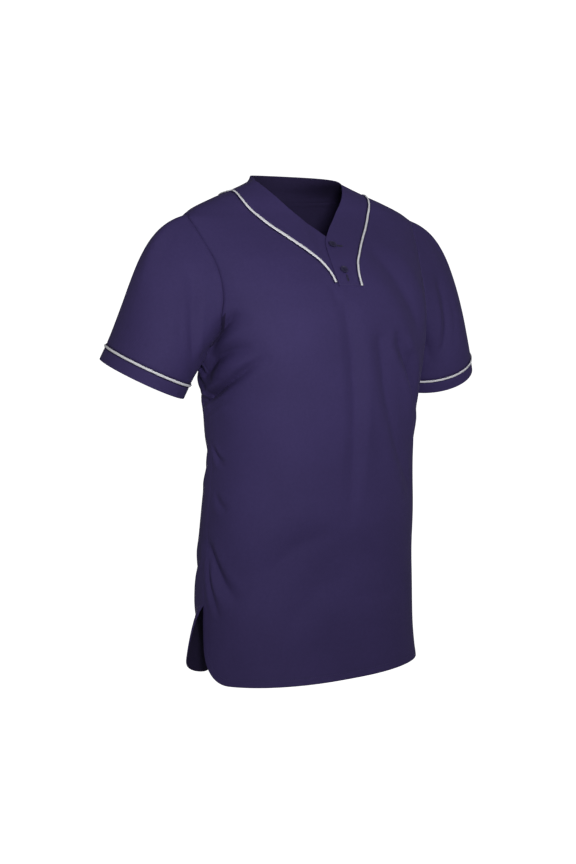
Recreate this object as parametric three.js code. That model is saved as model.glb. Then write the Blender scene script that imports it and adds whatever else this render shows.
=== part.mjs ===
import * as THREE from 'three';
import { mergeVertices } from 'three/addons/utils/BufferGeometryUtils.js';

// A short-sleeved V-neck jersey with a two-button placket, in the shape it takes when worn.
// Millimetres. +X is the wearer's left, -Y the front, +Z up.
// The origin lies midway between the two high points of the shoulders, at the neck's edge.

// Cloth and seams
const WALL = 1.4;
const SEAM_GAP = 0.3;
const ARMHOLE_GAP = 0.36;
const SHARPEST_FOLD = 0.5;       // the least sum of two unit normals that meet at the armhole
const QUARTER = 245;             // a quarter of the chest's girth, one turn of the torso's rings

// Heights
const HEM = -744;
const VENT_TOP = -632;
const CORNER = { across: 58, up: 52 };
const ARMPIT = -246;
const SHOULDER = -54;
const PLACKET_FOOT = -158;
const NECK_SEAM_AT_SHOULDER = -17;
const NECK_EDGE_RISE = 12;       // the back neck's free edge above the shoulders' high points
const NECK_SEAM_DROP = 12;       // the back neck's seam below its shoulder ends
const NECK_EDGE_ROUND = 0.5;     // the smaller, the flatter the back neck's free edge

// Side vents
const VENT_SPREAD = 18;          // the front edge's set-back at the hem
const VENT_FLARE = 30;           // how far the back tail's edge stands out at the hem
const VENT_CURL = 0.12;          // how much of a quarter of the girth curls out with the edge
const VENT_HOLLOW = { deep: 1.1, at: 0.28, wide: 0.2 };  // how the tail turns in behind it
const VENT_OPENING = { edge: 0.7, hollow: 2 };  // how soon each starts below the vent's top

// Armholes, as bites out of the side line, in quarters of the girth
const FRONT_BITE = 0.31;
const BACK_BITE = 0.25;

// Sleeves and cuffs, for the wearer's left
const CUFF_SEAM = { x: 261, y: -2, z: -277, across: 66, forward: 72 };
const CUFF_UNEVEN = { out: 2.5, up: 5.5 };   // added on the wearer's right, taken off on the left
const CUFF = 21;
const SLEEVE_LEAN = 22;          // the cuff's axis away from the vertical, in degrees
const SLEEVE_SWING = 13;         // the cuff's axis towards the back, in degrees
const SLEEVE_CAP_DROP = 12;      // the cap's first direction below the horizontal, in degrees
const SLEEVE_UNDER_LEAN = 38;    // the underarm's first direction away from the vertical, in degrees
const SLEEVE_PULL = { cap: 1.1, under: 0.8, cuff: 1.2 };

// Piping and buttons
const PIPING = { width: 4.4, height: 1.9, lift: 0.5 };
const BUTTON = { diameter: 12.5, thick: 2.4, hole: 1.8, holePitch: 3.6 };
const BUTTONS = [
  { name: 'button_upper', x: 1, z: -97 },
  { name: 'button_lower', x: 0, z: -134 },
];

// The underlap sinks below the overlap between these places across the centre line.
const UNDERLAP = { start: -34, full: -19 };

// Rings of the torso from the hem up. side is the side line's y, front and back the depths before
// and behind it, and round the exponent of the ring's rounded outline.
const RINGS = [
  { height: -765, half: 193, front: 126, back: 109, side: -18, round: 2.3 },
  { height: -690, half: 187, front: 117, back: 113, side: -19, round: 2.3 },
  { height: -600, half: 182, front: 116, back: 112, side: -22, round: 2.3 },
  { height: -500, half: 177, front: 122, back: 101, side: -25, round: 2.3 },
  { height: -410, half: 171, front: 129, back: 92, side: -27, round: 2.3 },
  { height: -330, half: 177, front: 134, back: 94, side: -29, round: 2.3 },
  { height: -255, half: 190, front: 133, back: 102, side: -29, round: 2.35 },
  { height: -200, half: 197, front: 124, back: 107, side: -29, round: 2.35 },
  { height: -160, half: 201, front: 109, back: 107, side: -28, round: 2.3 },
  { height: -120, half: 204, front: 84, back: 103, side: -26, round: 2.25 },
  { height: -87, half: 207, front: 59, back: 96, side: -21, round: 2.2 },
  { height: -60, half: 207, front: 40, back: 89, side: -15, round: 2.15 },
  { height: -48, half: 194, front: 33, back: 85, side: -12, round: 2.15 },
  { height: -28, half: 150, front: 27, back: 80, side: -7, round: 2.1 },
  { height: -14, half: 112, front: 21, back: 76, side: -3, round: 2.05 },
  { height: -5, half: 90, front: 15, back: 71, side: -1, round: 2 },
  { height: 0, half: 80, front: 12, back: 69, side: 0, round: 2 },
  { height: 6, half: 76, front: 11, back: 68, side: 0, round: 2 },
  { height: 20, half: 72, front: 10, back: 68, side: 0, round: 2 },
];

// Sections of the neck band from the placket's foot to the shoulder, on the wearer's left:
// where it is sewn to the front, and its free edge, which crosses the centre line at the V.
// rightSeam moves the seam outward on the wearer's right, where the band hangs a little wider.
const BAND = [
  { seamX: 22, seamZ: -158, edgeX: -18, edgeZ: -158, rightSeam: 0 },
  { seamX: 24, seamZ: -142, edgeX: -17, edgeZ: -140, rightSeam: 0 },
  { seamX: 31, seamZ: -124, edgeX: -15, edgeZ: -118, rightSeam: 1 },
  { seamX: 45, seamZ: -107, edgeX: -10, edgeZ: -97, rightSeam: 2 },
  { seamX: 64, seamZ: -88, edgeX: 8, edgeZ: -76, rightSeam: 4 },
  { seamX: 87, seamZ: -66, edgeX: 32, edgeZ: -55, rightSeam: 6 },
  { seamX: 105, seamZ: -45, edgeX: 53, edgeZ: -34, rightSeam: 6 },
  { seamX: 116, seamZ: -28, edgeX: 69, edgeZ: -15, rightSeam: 3 },
  { seamX: 120, seamZ: -17, edgeX: 80, edgeZ: 0, rightSeam: 0 },
];

// The largest folds, as troughs between two points of the torso. turn runs from 0 at the centre
// front to 1 at the wearer's left side and -1 at the right, and on to 2 at the centre back.
const FOLDS = [
  { turn: -0.99, height: -320, toTurn: -0.52, toHeight: -261, wide: 12, deep: 5 },
  { turn: -0.97, height: -283, toTurn: -0.62, toHeight: -203, wide: 13, deep: 5 },
  { turn: -0.93, height: -264, toTurn: -0.55, toHeight: -240, wide: 12, deep: 3 },
  { turn: 0.95, height: -300, toTurn: 0.66, toHeight: -262, wide: 14, deep: 4 },
  { turn: 0.27, height: -246, toTurn: 0.6, toHeight: -345, wide: 13, deep: 5.5 },
  { turn: 0.15, height: -240, toTurn: 0.48, toHeight: -470, wide: 19, deep: 4.5 },
  { turn: 0.3, height: -150, toTurn: 0.47, toHeight: -225, wide: 22, deep: 3.5 },
  { turn: -0.05, height: -200, toTurn: -0.02, toHeight: -500, wide: 15, deep: 3.5 },
  { turn: -0.98, height: -548, toTurn: -0.68, toHeight: -614, wide: 14, deep: 4 },
  { turn: -0.6, height: -592, toTurn: 0.5, toHeight: -566, wide: 44, deep: 5 },
  { turn: 1.1, height: -270, toTurn: 1.55, toHeight: -215, wide: 17, deep: 5 },
  { turn: 2.9, height: -275, toTurn: 2.5, toHeight: -222, wide: 17, deep: 5 },
  { turn: 1.72, height: -330, toTurn: 1.78, toHeight: -500, wide: 20, deep: 4 },
  { turn: 2.24, height: -350, toTurn: 2.2, toHeight: -545, wide: 22, deep: 4.5 },
  { turn: 1.25, height: -420, toTurn: 1.6, toHeight: -460, wide: 18, deep: 3.5 },
  { turn: 2.8, height: -400, toTurn: 2.45, toHeight: -452, wide: 18, deep: 4 },
];

// Folds of the sleeves: angle runs round the sleeve from 0 at the cap over 90 at the front,
// and along from 0 at the armhole to 1 at the cuff's seam.
const SLEEVE_FOLDS = [
  { angle: 74, along: 0.3, toAngle: 126, toAlong: 0.85, wide: 14, deep: 3.5 },
  { angle: 232, along: 0.25, toAngle: 268, toAlong: 0.85, wide: 15, deep: 3.5 },
];

// Folds are shallower at their ends than midway, and fade out below the shoulder and at the
// sleeve's two seams.
const FOLD_ENDS = { share: 0.35, from: 0.25, to: 0.95 };
const FOLD_FADE = 60;
const SLEEVE_FOLD_FADE = { armhole: 0.25, cuff: 0.2 };
const SLEEVE_LENGTH = 150;

// Steps over which a surface's normal is measured
const NORMAL_STEP = { turn: 0.01, height: 1, angle: 0.01, along: 0.01 };

// How many cells each stretch of a panel is divided into
const STEPS = {
  corner: 5,
  body: 16,
  armLow: 8,
  armHigh: 8,
  shoulder: 5,
  wing: 9,
  placket: 4,
  back: 24,
  band: 3,
  sleeve: 8,
  pipingSection: 5,
};

const clamp01 = (value) => Math.min(Math.max(value, 0), 1);
const mix = (from, to, share) => from + (to - from) * share;
const ease = (value) => clamp01(value) ** 2 * (3 - 2 * clamp01(value));
const radians = (degrees) => THREE.MathUtils.degToRad(degrees);
const count = (steps) => Array.from({ length: steps + 1 }, (_, step) => step);
const shares = (steps) => count(steps).map((step) => step / steps);

// Smooth curve through a table's rows, with no overshoot between them
function throughRows(rows, key, column, at) {
  const last = rows.length - 2;
  let row = 0;
  while (row < last && rows[row + 1][key] < at) row += 1;
  const span = (r) => rows[r + 1][key] - rows[r][key];
  const rise = (r) => (rows[r + 1][column] - rows[r][column]) / span(r);
  const slope = (r) => {
    if (r === 0) return rise(0);
    if (r === rows.length - 1) return rise(r - 1);
    const before = rise(r - 1);
    const after = rise(r);
    if (before * after <= 0) return 0;
    const near = 2 * span(r) + span(r - 1);
    const far = span(r) + 2 * span(r - 1);
    return (near + far) / (near / before + far / after);
  };
  const share = clamp01((at - rows[row][key]) / span(row));
  return hermite(rows[row][column], slope(row) * span(row), rows[row + 1][column],
    slope(row + 1) * span(row), share);
}

function hermite(from, fromPull, to, toPull, share) {
  const rest = 1 - share;
  return (1 + 2 * share) * rest * rest * from + share * rest * rest * fromPull
    + share * share * (3 - 2 * share) * to - share * share * rest * toPull;
}

function ringAt(height) {
  const ring = {};
  for (const column of ['half', 'front', 'back', 'side', 'round']) {
    ring[column] = throughRows(RINGS, 'height', column, height);
  }
  return ring;
}

// A trough's depth at a place, in a flat map of the cloth in millimetres
function troughDepth(fold, place) {
  const run = fold.to.clone().sub(fold.from);
  const share = clamp01(place.clone().sub(fold.from).dot(run) / run.lengthSq());
  const away = place.distanceTo(fold.from.clone().addScaledVector(run, share)) / fold.wide;
  const middle = Math.sin(Math.PI * mix(FOLD_ENDS.from, FOLD_ENDS.to, share));
  const taper = mix(FOLD_ENDS.share, 1, middle);
  return fold.deep * taper * Math.exp(-away * away);
}

const onMap = (turn, height) => new THREE.Vector2(turn * QUARTER, height);
const FOLD_MAP = FOLDS.map((fold) => ({
  ...fold, from: onMap(fold.turn, fold.height), to: onMap(fold.toTurn, fold.toHeight),
}));

function foldDepth(turn, height) {
  const round = turn < -1 ? turn + 4 : turn;
  const places = [onMap(round, height), onMap(round > 1 ? round - 4 : round + 4, height)];
  let depth = 0;
  for (const fold of FOLD_MAP) {
    for (const place of places) depth += troughDepth(fold, place);
  }
  return depth * ease((SHOULDER - height) / FOLD_FADE);
}

// The back tail's edge stands out from the side below the vent's top, with a hollow behind it.
function ventFlare(turn, height) {
  const away = Math.min(turn, 4 - turn) - 1;
  const outward = Math.exp(-((away / VENT_CURL) ** 2));
  const inward = Math.exp(-(((away - VENT_HOLLOW.at) / VENT_HOLLOW.wide) ** 2));
  const down = clamp01((VENT_TOP - height) / (VENT_TOP - HEM));
  const open = Math.sin(down * Math.PI / 2);
  const hollow = VENT_HOLLOW.deep * inward * open ** VENT_OPENING.hollow;
  return VENT_FLARE * (outward * open ** VENT_OPENING.edge - hollow);
}

function plainTorsoPoint(turn, height) {
  const ring = ringAt(height);
  const angle = turn * Math.PI / 2;
  const sine = Math.sin(angle);
  const cosine = Math.cos(angle);
  const sum = Math.abs(sine) ** ring.round + Math.abs(cosine) ** ring.round;
  const reach = sum ** (-1 / ring.round);
  const depth = cosine < 0 ? ring.back : ring.front;
  return new THREE.Vector3(
    ring.half * reach * sine,
    ring.side - depth * reach * cosine,
    height,
  );
}

// Outward normal of a surface given by a function of two parameters that run right and up
function normalOf(surface, u, v, du, dv) {
  const alongU = surface(u + du, v).sub(surface(u - du, v));
  const alongV = surface(u, v + dv).sub(surface(u, v - dv));
  return alongU.cross(alongV).normalize();
}

function torsoPoint(turn, height) {
  const outward = normalOf(plainTorsoPoint, turn, height, NORMAL_STEP.turn, NORMAL_STEP.height);
  return plainTorsoPoint(turn, height).addScaledVector(outward, -foldDepth(turn, height));
}

// The back with its flared tail
function backPoint(turn, height) {
  const point = torsoPoint(turn, height);
  point.x += Math.sign(2 - turn) * ventFlare(turn, height);
  return point;
}

function torsoNode(turn, height, surface = torsoPoint) {
  return {
    turn,
    height,
    surface,
    point: surface(turn, height),
    normal: normalOf(surface, turn, height, NORMAL_STEP.turn, NORMAL_STEP.height),
  };
}

// Where the front reaches a distance from the centre line
function frontTurn(x, height) {
  const ring = ringAt(height);
  const across = clamp01(Math.abs(x) / ring.half);
  const forward = (1 - across ** ring.round) ** (1 / ring.round);
  return Math.sign(x) * Math.atan2(across, forward) / (Math.PI / 2);
}

// Armhole: its angles from the shoulder point over the front to the armpit, and back up
const ARM_MIDDLE = (SHOULDER + ARMPIT) / 2;
const ARM_HALF = (SHOULDER - ARMPIT) / 2;
const FOOT_ANGLE = Math.acos((PLACKET_FOOT - ARM_MIDDLE) / ARM_HALF);
const ARM_DOWN = [
  ...shares(STEPS.armHigh).map((share) => FOOT_ANGLE * share),
  ...shares(STEPS.armLow).slice(1).map((share) => mix(FOOT_ANGLE, Math.PI, share)),
];
const ARM_UP = ARM_DOWN.slice(1, -1).reverse().map((angle) => 2 * Math.PI - angle);
const ARM_ROUND = [...ARM_DOWN, ...ARM_UP];
const ARM_CLOSED = [...ARM_ROUND, ARM_ROUND[0]];

const armHeight = (angle) => ARM_MIDDLE + ARM_HALF * Math.cos(angle);
const armFrontTurn = (angle) => 1 - FRONT_BITE * Math.abs(Math.sin(angle));
const armBackTurn = (angle) => 1 + BACK_BITE * Math.abs(Math.sin(angle));
const armTurn = (angle) => (angle <= Math.PI ? armFrontTurn(angle) : armBackTurn(angle));

// Sleeve on the wearer's left
const CUFF_TILT = new THREE.Euler(radians(SLEEVE_SWING), -radians(SLEEVE_LEAN), 0, 'YXZ');
const CUFF_AXIS = new THREE.Vector3(0, 0, -1).applyEuler(CUFF_TILT);
const CUFF_OUT = new THREE.Vector3(1, 0, 0).applyEuler(CUFF_TILT);
const CUFF_FRONT = new THREE.Vector3(0, -1, 0).applyEuler(CUFF_TILT);

function cuffPoint(side, angle, down) {
  return new THREE.Vector3(CUFF_SEAM.x, CUFF_SEAM.y, CUFF_SEAM.z)
    .add(new THREE.Vector3(-side * CUFF_UNEVEN.out, 0, -side * CUFF_UNEVEN.up))
    .addScaledVector(CUFF_OUT, CUFF_SEAM.across * Math.cos(angle))
    .addScaledVector(CUFF_FRONT, CUFF_SEAM.forward * Math.sin(angle))
    .addScaledVector(CUFF_AXIS, down);
}

function sleeveStart(angle) {
  const drop = radians(SLEEVE_CAP_DROP);
  const cap = new THREE.Vector3(Math.cos(drop), 0, -Math.sin(drop));
  const lean = radians(SLEEVE_UNDER_LEAN);
  const under = new THREE.Vector3(Math.sin(lean), 0, -Math.cos(lean));
  const share = (1 + Math.cos(angle)) / 2;
  return under.multiplyScalar(1 - share).addScaledVector(cap, share).normalize();
}

function armholePoint(angle, side) {
  const point = torsoPoint(armTurn(angle) * side, armHeight(angle));
  point.x *= side;
  return point;
}

function plainSleevePoint(side, angle, along) {
  const start = armholePoint(angle, side);
  const end = cuffPoint(side, angle, 0);
  const length = start.distanceTo(end);
  const pull = mix(SLEEVE_PULL.under, SLEEVE_PULL.cap, (1 + Math.cos(angle)) / 2);
  const startPull = sleeveStart(angle).multiplyScalar(length * pull);
  const endPull = CUFF_AXIS.clone().multiplyScalar(length * SLEEVE_PULL.cuff);
  const point = new THREE.Vector3();
  for (const axis of ['x', 'y', 'z']) {
    point[axis] = hermite(start[axis], startPull[axis], end[axis], endPull[axis], along);
  }
  return point;
}

const onSleeveMap = (angle, along) => (
  new THREE.Vector2(angle * CUFF_SEAM.across, along * SLEEVE_LENGTH)
);
const SLEEVE_FOLD_MAP = SLEEVE_FOLDS.map((fold) => ({
  ...fold,
  from: onSleeveMap(radians(fold.angle), fold.along),
  to: onSleeveMap(radians(fold.toAngle), fold.toAlong),
}));

function sleevePoint(side, angle, along) {
  const round = (angle + 2 * Math.PI) % (2 * Math.PI);
  const place = onSleeveMap(round, along);
  const depth = SLEEVE_FOLD_MAP.reduce((sum, fold) => sum + troughDepth(fold, place), 0);
  const fade = ease(along / SLEEVE_FOLD_FADE.armhole) * ease((1 - along) / SLEEVE_FOLD_FADE.cuff);
  const outward = sleeveNormal(plainSleevePoint, side, round, along);
  return plainSleevePoint(side, round, along).addScaledVector(outward, -depth * fade);
}

// Outward normal of a sleeve's surface: angles run from the cap to the front, and lengths down.
function sleeveNormal(surface, side, angle, along) {
  const turned = NORMAL_STEP.angle;
  const low = Math.max(along - NORMAL_STEP.along, 0);
  const high = along + NORMAL_STEP.along;
  const alongAngle = surface(side, angle + turned, along).sub(surface(side, angle - turned, along));
  const alongLength = surface(side, angle, high).sub(surface(side, angle, low));
  return alongAngle.cross(alongLength).normalize();
}

// The torso's and the sleeve's normals at the armhole, added up
function armholeNormals(side, angle) {
  const onTorso = torsoNode(armTurn(angle) * side, armHeight(angle)).normal;
  onTorso.x *= side;
  return onTorso.add(sleeveNormal(plainSleevePoint, side, angle, 0));
}

// Both pieces are cut square to the same direction there, and further back where they fold sharply.
const armholeNormal = (side, angle) => armholeNormals(side, angle).normalize();
const armholeInset = (side, angle) => (
  ARMHOLE_GAP / Math.max(armholeNormals(side, angle).length(), SHARPEST_FOLD)
);

// A sheet is a set of points with outward normals, and the four-cornered cells between them.
function newSheet() {
  return { points: [], normals: [], cells: [], found: new Map() };
}

function indexIn(sheet, node) {
  const key = node.point.toArray().map((value) => value.toFixed(3)).join(' ');
  if (!sheet.found.has(key)) {
    sheet.found.set(key, sheet.points.length);
    sheet.points.push(node.point);
    sheet.normals.push(node.normal);
  }
  return sheet.found.get(key);
}

function addGrid(sheet, rows) {
  const index = rows.map((row) => row.map((node) => indexIn(sheet, node)));
  for (let row = 0; row + 1 < index.length; row += 1) {
    for (let column = 0; column + 1 < index[row].length; column += 1) {
      const cell = [index[row][column], index[row][column + 1],
        index[row + 1][column + 1], index[row + 1][column]];
      sheet.cells.push(facesOut(sheet, cell) ? cell : cell.reverse());
    }
  }
}

function facesOut(sheet, cell) {
  const [a, b, c, d] = cell.map((index) => sheet.points[index]);
  const across = c.clone().sub(a).cross(d.clone().sub(b));
  const outward = cell.reduce((sum, index) => sum.add(sheet.normals[index]), new THREE.Vector3());
  return across.dot(outward) > 0;
}

// The sheet as a closed wall: its outer side, the same moved in, and rims along its open edges
function thicken(sheet, wall = WALL) {
  const size = sheet.points.length;
  const inner = sheet.points.map(
    (point, index) => point.clone().addScaledVector(sheet.normals[index], -wall),
  );
  const triangles = [];
  const edges = new Map();
  for (const [a, b, c, d] of sheet.cells) {
    triangles.push([a, b, c], [a, c, d]);
    triangles.push([c + size, b + size, a + size], [d + size, c + size, a + size]);
    for (const [from, to] of [[a, b], [b, c], [c, d], [d, a]]) {
      edges.set(`${from} ${to}`, [from, to]);
    }
  }
  for (const [from, to] of edges.values()) {
    if (edges.has(`${to} ${from}`)) continue;
    triangles.push([to, from, from + size], [to, from + size, to + size]);
  }
  return solidOf([...sheet.points, ...inner], triangles);
}

function solidOf(points, triangles) {
  const geometry = new THREE.BufferGeometry();
  const places = points.flatMap((point) => point.toArray());
  geometry.setAttribute('position', new THREE.Float32BufferAttribute(places, 3));
  geometry.setIndex(triangles.flat());
  geometry.computeVertexNormals();
  return geometry;
}

// Moves a grid's edge nodes in from a seam, along the cloth.
function insetNode(node, inside, distance) {
  const share = distance / node.point.distanceTo(inside.point);
  const turn = mix(node.turn, inside.turn, share);
  const moved = torsoNode(turn, mix(node.height, inside.height, share), node.surface);
  if (node.seamNormal) moved.normal = node.seamNormal;
  return moved;
}

function insetColumn(rows, column, inside, distanceAt) {
  rows.forEach((row, index) => {
    const distance = distanceAt(index);
    if (distance > 0) row[column] = insetNode(row[column], row[inside], distance);
  });
}

function insetRow(rows, row, inside, distance) {
  rows[row] = rows[row].map((node, column) => insetNode(node, rows[inside][column], distance));
}

// Heights of the side line from the hem to the armpit: a quarter round at the corner, then evenly
const CORNER_ROWS = shares(STEPS.corner).map(
  (share) => HEM + CORNER.up * (1 - Math.cos(share * Math.PI / 2)),
);
const BODY_ROWS = shares(STEPS.body).slice(1).map((share) => mix(HEM + CORNER.up, ARMPIT, share));

// Between the armholes the rows are evenly spaced up to a height, and bend to the seams.
function armRows(angles, turnAt, top) {
  return angles.map((angle, row) => ({
    height: armHeight(angle),
    turn: turnAt(angle),
    angle,
    middle: mix(ARMPIT, top, (row + 1) / angles.length),
  }));
}

const rowHeight = ({ height, middle = height }, sideward) => mix(middle, height, sideward ** 4);

// How far a panel's edge stands back from the side line, for the round corner and the vent
function cornerSetBack(height) {
  const up = clamp01((HEM + CORNER.up - height) / CORNER.up);
  return CORNER.across * (1 - Math.sqrt(1 - up * up));
}

function frontSideTurn(height) {
  const spread = VENT_SPREAD * ease((VENT_TOP - height) / (VENT_TOP - HEM));
  return 1 - (cornerSetBack(height) + spread) / QUARTER;
}

const backSideTurn = (height) => 1 + cornerSetBack(height) / QUARTER;

function armholeNode(angle, side, isBack) {
  const turn = isBack ? armBackTurn(angle) : armFrontTurn(angle);
  const node = torsoNode(turn * side, armHeight(angle));
  const seam = armholeNormal(side, isBack ? 2 * Math.PI - angle : angle);
  seam.x *= side;
  node.seamNormal = seam;
  return node;
}

const seamX = (section, side) => section.seamX + (side < 0 ? section.rightSeam : 0);

// The neck seam on the front, from a band section
function seamNode(section, side) {
  return torsoNode(frontTurn(seamX(section, side), section.seamZ) * side, section.seamZ);
}

function makeFront() {
  const sheet = newSheet();
  const footTurn = frontTurn(BAND[0].seamX, PLACKET_FOOT);
  const topTurn = armFrontTurn(FOOT_ANGLE);
  const outwards = [
    ...shares(STEPS.placket / 2).map((share) => footTurn * share),
    ...shares(STEPS.wing).slice(1).map((share) => mix(footTurn, topTurn, share)),
  ].map((turn) => turn / topTurn);
  const columns = [...outwards.slice(1).reverse().map((share) => -share), ...outwards];
  const last = columns.length - 1;
  const armAngles = ARM_DOWN.slice(STEPS.armHigh, -1).reverse();
  const sideRows = [
    ...[...CORNER_ROWS, ...BODY_ROWS].map((height) => ({ height, turn: frontSideTurn(height) })),
    ...armRows(armAngles, armFrontTurn, PLACKET_FOOT),
  ];
  const lower = sideRows.map((row) => columns.map(
    (share) => torsoNode(share * row.turn, rowHeight(row, share)),
  ));
  sideRows.forEach(({ height, angle }, row) => {
    const isArmpit = height === ARMPIT;
    if (angle === undefined && !isArmpit) return;
    lower[row][0].seamNormal = armholeNode(isArmpit ? Math.PI : angle, -1, false).seamNormal;
    lower[row][last].seamNormal = armholeNode(isArmpit ? Math.PI : angle, 1, false).seamNormal;
  });
  const sideGap = (side) => (row) => {
    const { angle, height } = sideRows[row];
    if (angle === undefined && height < ARMPIT) return SEAM_GAP / 2;
    return armholeInset(side, angle ?? Math.PI);
  };
  insetColumn(lower, 0, 1, sideGap(-1));
  insetColumn(lower, last, last - 1, sideGap(1));
  const top = lower.length - 1;
  const placketFrom = STEPS.wing;
  const placketTo = STEPS.wing + STEPS.placket;
  for (let column = placketFrom; column <= placketTo; column += 1) {
    const node = lower[top][column];
    const aside = column === placketFrom ? -1 : Number(column === placketTo);
    const sideways = aside * (SEAM_GAP / 2) / QUARTER;
    lower[top][column] = torsoNode(node.turn + sideways, node.height - SEAM_GAP / 2);
  }
  addGrid(sheet, lower);
  addGrid(sheet, makeWing(1, lower[top].slice(placketTo)));
  addGrid(sheet, makeWing(-1, lower[top].slice(0, placketFrom + 1).reverse()));
  return thicken(sheet);
}

// The front above the placket's foot, between the neck seam and the armhole
function makeWing(side, bottomRow) {
  const rows = [bottomRow];
  for (let step = 1; step <= STEPS.armHigh; step += 1) {
    const inner = seamNode(BAND[step], side);
    const angle = ARM_DOWN[STEPS.armHigh - step];
    const outer = armholeNode(angle, side, false);
    const row = shares(STEPS.wing).map((share) => torsoNode(
      mix(inner.turn, outer.turn, share),
      mix(inner.height, outer.height, share),
    ));
    row[STEPS.wing] = outer;
    rows.push(row);
  }
  const top = rows.length - 1;
  const wholeTop = [...rows[top]];
  for (let step = 1; step <= top; step += 1) {
    rows[step][0] = insetNode(rows[step][0], rows[step][1], SEAM_GAP / 2);
    const inset = armholeInset(side, ARM_DOWN[STEPS.armHigh - step]);
    rows[step][STEPS.wing] = insetNode(rows[step][STEPS.wing], rows[step][STEPS.wing - 1], inset);
  }
  rows[top] = rows[top].map((node, column) => {
    const lowered = insetNode(wholeTop[column], rows[top - 1][column], SEAM_GAP / 2);
    const turn = side * Math.min(Math.abs(node.turn), Math.abs(lowered.turn));
    const moved = torsoNode(turn, column === 0 || column === STEPS.wing ? node.height : lowered.height);
    if (wholeTop[column].seamNormal) moved.normal = wholeTop[column].seamNormal;
    return moved;
  });
  return rows;
}

const backward = (turn) => Math.max(Math.sin((turn - 1) * Math.PI / 2), 0);
const backSeamHeight = (turn) => NECK_SEAM_AT_SHOULDER - NECK_SEAM_DROP * backward(turn);
const backEdgeHeight = (turn) => NECK_EDGE_RISE * backward(turn) ** NECK_EDGE_ROUND;

function makeBack() {
  const sheet = newSheet();
  const armAngles = ARM_DOWN.slice(0, -1).reverse();
  const shoulderRows = shares(STEPS.shoulder).slice(1).map(
    (share) => mix(SHOULDER, NECK_SEAM_AT_SHOULDER, share),
  );
  const sideRows = [
    ...[...CORNER_ROWS, ...BODY_ROWS].map((height) => ({ height, turn: backSideTurn(height) })),
    ...armRows(armAngles, armBackTurn, SHOULDER),
    ...shoulderRows.map((height) => ({ height, turn: 1, isShoulder: true })),
  ];
  const lift = (height) => ease((height - ARMPIT) / (NECK_SEAM_AT_SHOULDER - ARMPIT));
  const rows = sideRows.map((row) => shares(STEPS.back).map((share) => {
    const across = mix(row.turn, 4 - row.turn, share);
    const dip = NECK_SEAM_DROP * (backward(across) - backward(row.turn)) * lift(row.height);
    return torsoNode(across, rowHeight(row, 2 * share - 1) - dip, backPoint);
  }));
  const last = STEPS.back;
  sideRows.forEach(({ angle, height }, row) => {
    const isArmpit = height === ARMPIT;
    if (angle === undefined && !isArmpit) return;
    rows[row][0].seamNormal = armholeNode(isArmpit ? Math.PI : angle, 1, true).seamNormal;
    rows[row][last].seamNormal = armholeNode(isArmpit ? Math.PI : angle, -1, true).seamNormal;
  });
  const sideGap = (side) => (row) => {
    const { angle, height, isShoulder } = sideRows[row];
    if (isShoulder || (angle === undefined && height < ARMPIT)) return SEAM_GAP / 2;
    const seam = angle ?? Math.PI;
    return armholeInset(side, seam === 0 ? 0 : 2 * Math.PI - seam);
  };
  insetColumn(rows, 0, 1, sideGap(1));
  insetColumn(rows, last, last - 1, sideGap(-1));
  insetRow(rows, rows.length - 1, rows.length - 2, SEAM_GAP);
  addGrid(sheet, rows);
  return thicken(sheet);
}

// The band over the back neck
function makeBandBack() {
  const rows = shares(STEPS.band).map((up) => shares(STEPS.back).map((share) => {
    const turn = mix(1, 3, share);
    return torsoNode(turn, mix(backSeamHeight(turn), backEdgeHeight(turn), up));
  }));
  insetColumn(rows, 0, 1, () => SEAM_GAP / 2);
  insetColumn(rows, STEPS.back, STEPS.back - 1, () => SEAM_GAP / 2);
  insetRow(rows, 0, 1, SEAM_GAP / 2);
  const sheet = newSheet();
  addGrid(sheet, rows);
  return thicken(sheet);
}

// One front of the band, from the placket's foot to the shoulder. On the wearer's right it is the
// underlap, sunk below the other one where they cross.
function makeBandFront(side) {
  const rows = BAND.map((section) => shares(STEPS.band + 1).map((share) => {
    const x = mix(seamX(section, side), section.edgeX, share);
    const height = mix(section.seamZ, section.edgeZ, share);
    return torsoNode(frontTurn(x, height) * side, height);
  }));
  const top = rows.length - 1;
  insetColumn(rows, 0, 1, () => SEAM_GAP);
  insetRow(rows, 0, 1, SEAM_GAP / 2);
  insetRow(rows, top, top - 1, SEAM_GAP / 2);
  const sunk = side > 0 ? 0 : WALL + 2 * SEAM_GAP;
  for (const node of rows.flat()) {
    const share = ease((node.point.x - UNDERLAP.start) / (UNDERLAP.full - UNDERLAP.start));
    node.point.addScaledVector(node.normal, -sunk * share);
  }
  const sheet = newSheet();
  addGrid(sheet, rows);
  return thicken(sheet);
}

function makeSleeve(side) {
  const rows = shares(STEPS.sleeve).map((share, row) => ARM_CLOSED.map((angle) => {
    const length = armholePoint(angle, side).distanceTo(cuffPoint(side, angle, 0));
    const inset = row === 0 ? armholeInset(side, angle) / length : 0;
    const along = row === STEPS.sleeve ? 1 - SEAM_GAP / 2 / length : share + inset;
    const normal = row === 0
      ? armholeNormal(side, angle)
      : sleeveNormal(sleevePoint, side, angle, along);
    return mirrored({ point: sleevePoint(side, angle, along), normal }, side);
  }));
  const sheet = newSheet();
  addGrid(sheet, rows);
  return thicken(sheet);
}

function mirrored(node, side) {
  const flip = new THREE.Vector3(side, 1, 1);
  return { point: node.point.clone().multiply(flip), normal: node.normal.clone().multiply(flip) };
}

function cuffNormal(angle) {
  return CUFF_OUT.clone().multiplyScalar(Math.cos(angle) * CUFF_SEAM.forward)
    .addScaledVector(CUFF_FRONT, Math.sin(angle) * CUFF_SEAM.across)
    .normalize();
}

function makeCuff(side) {
  const rows = [SEAM_GAP / 2, CUFF].map((down) => ARM_CLOSED.map(
    (angle) => mirrored({ point: cuffPoint(side, angle, down), normal: cuffNormal(angle) }, side),
  ));
  const sheet = newSheet();
  addGrid(sheet, rows);
  return thicken(sheet);
}

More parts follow.
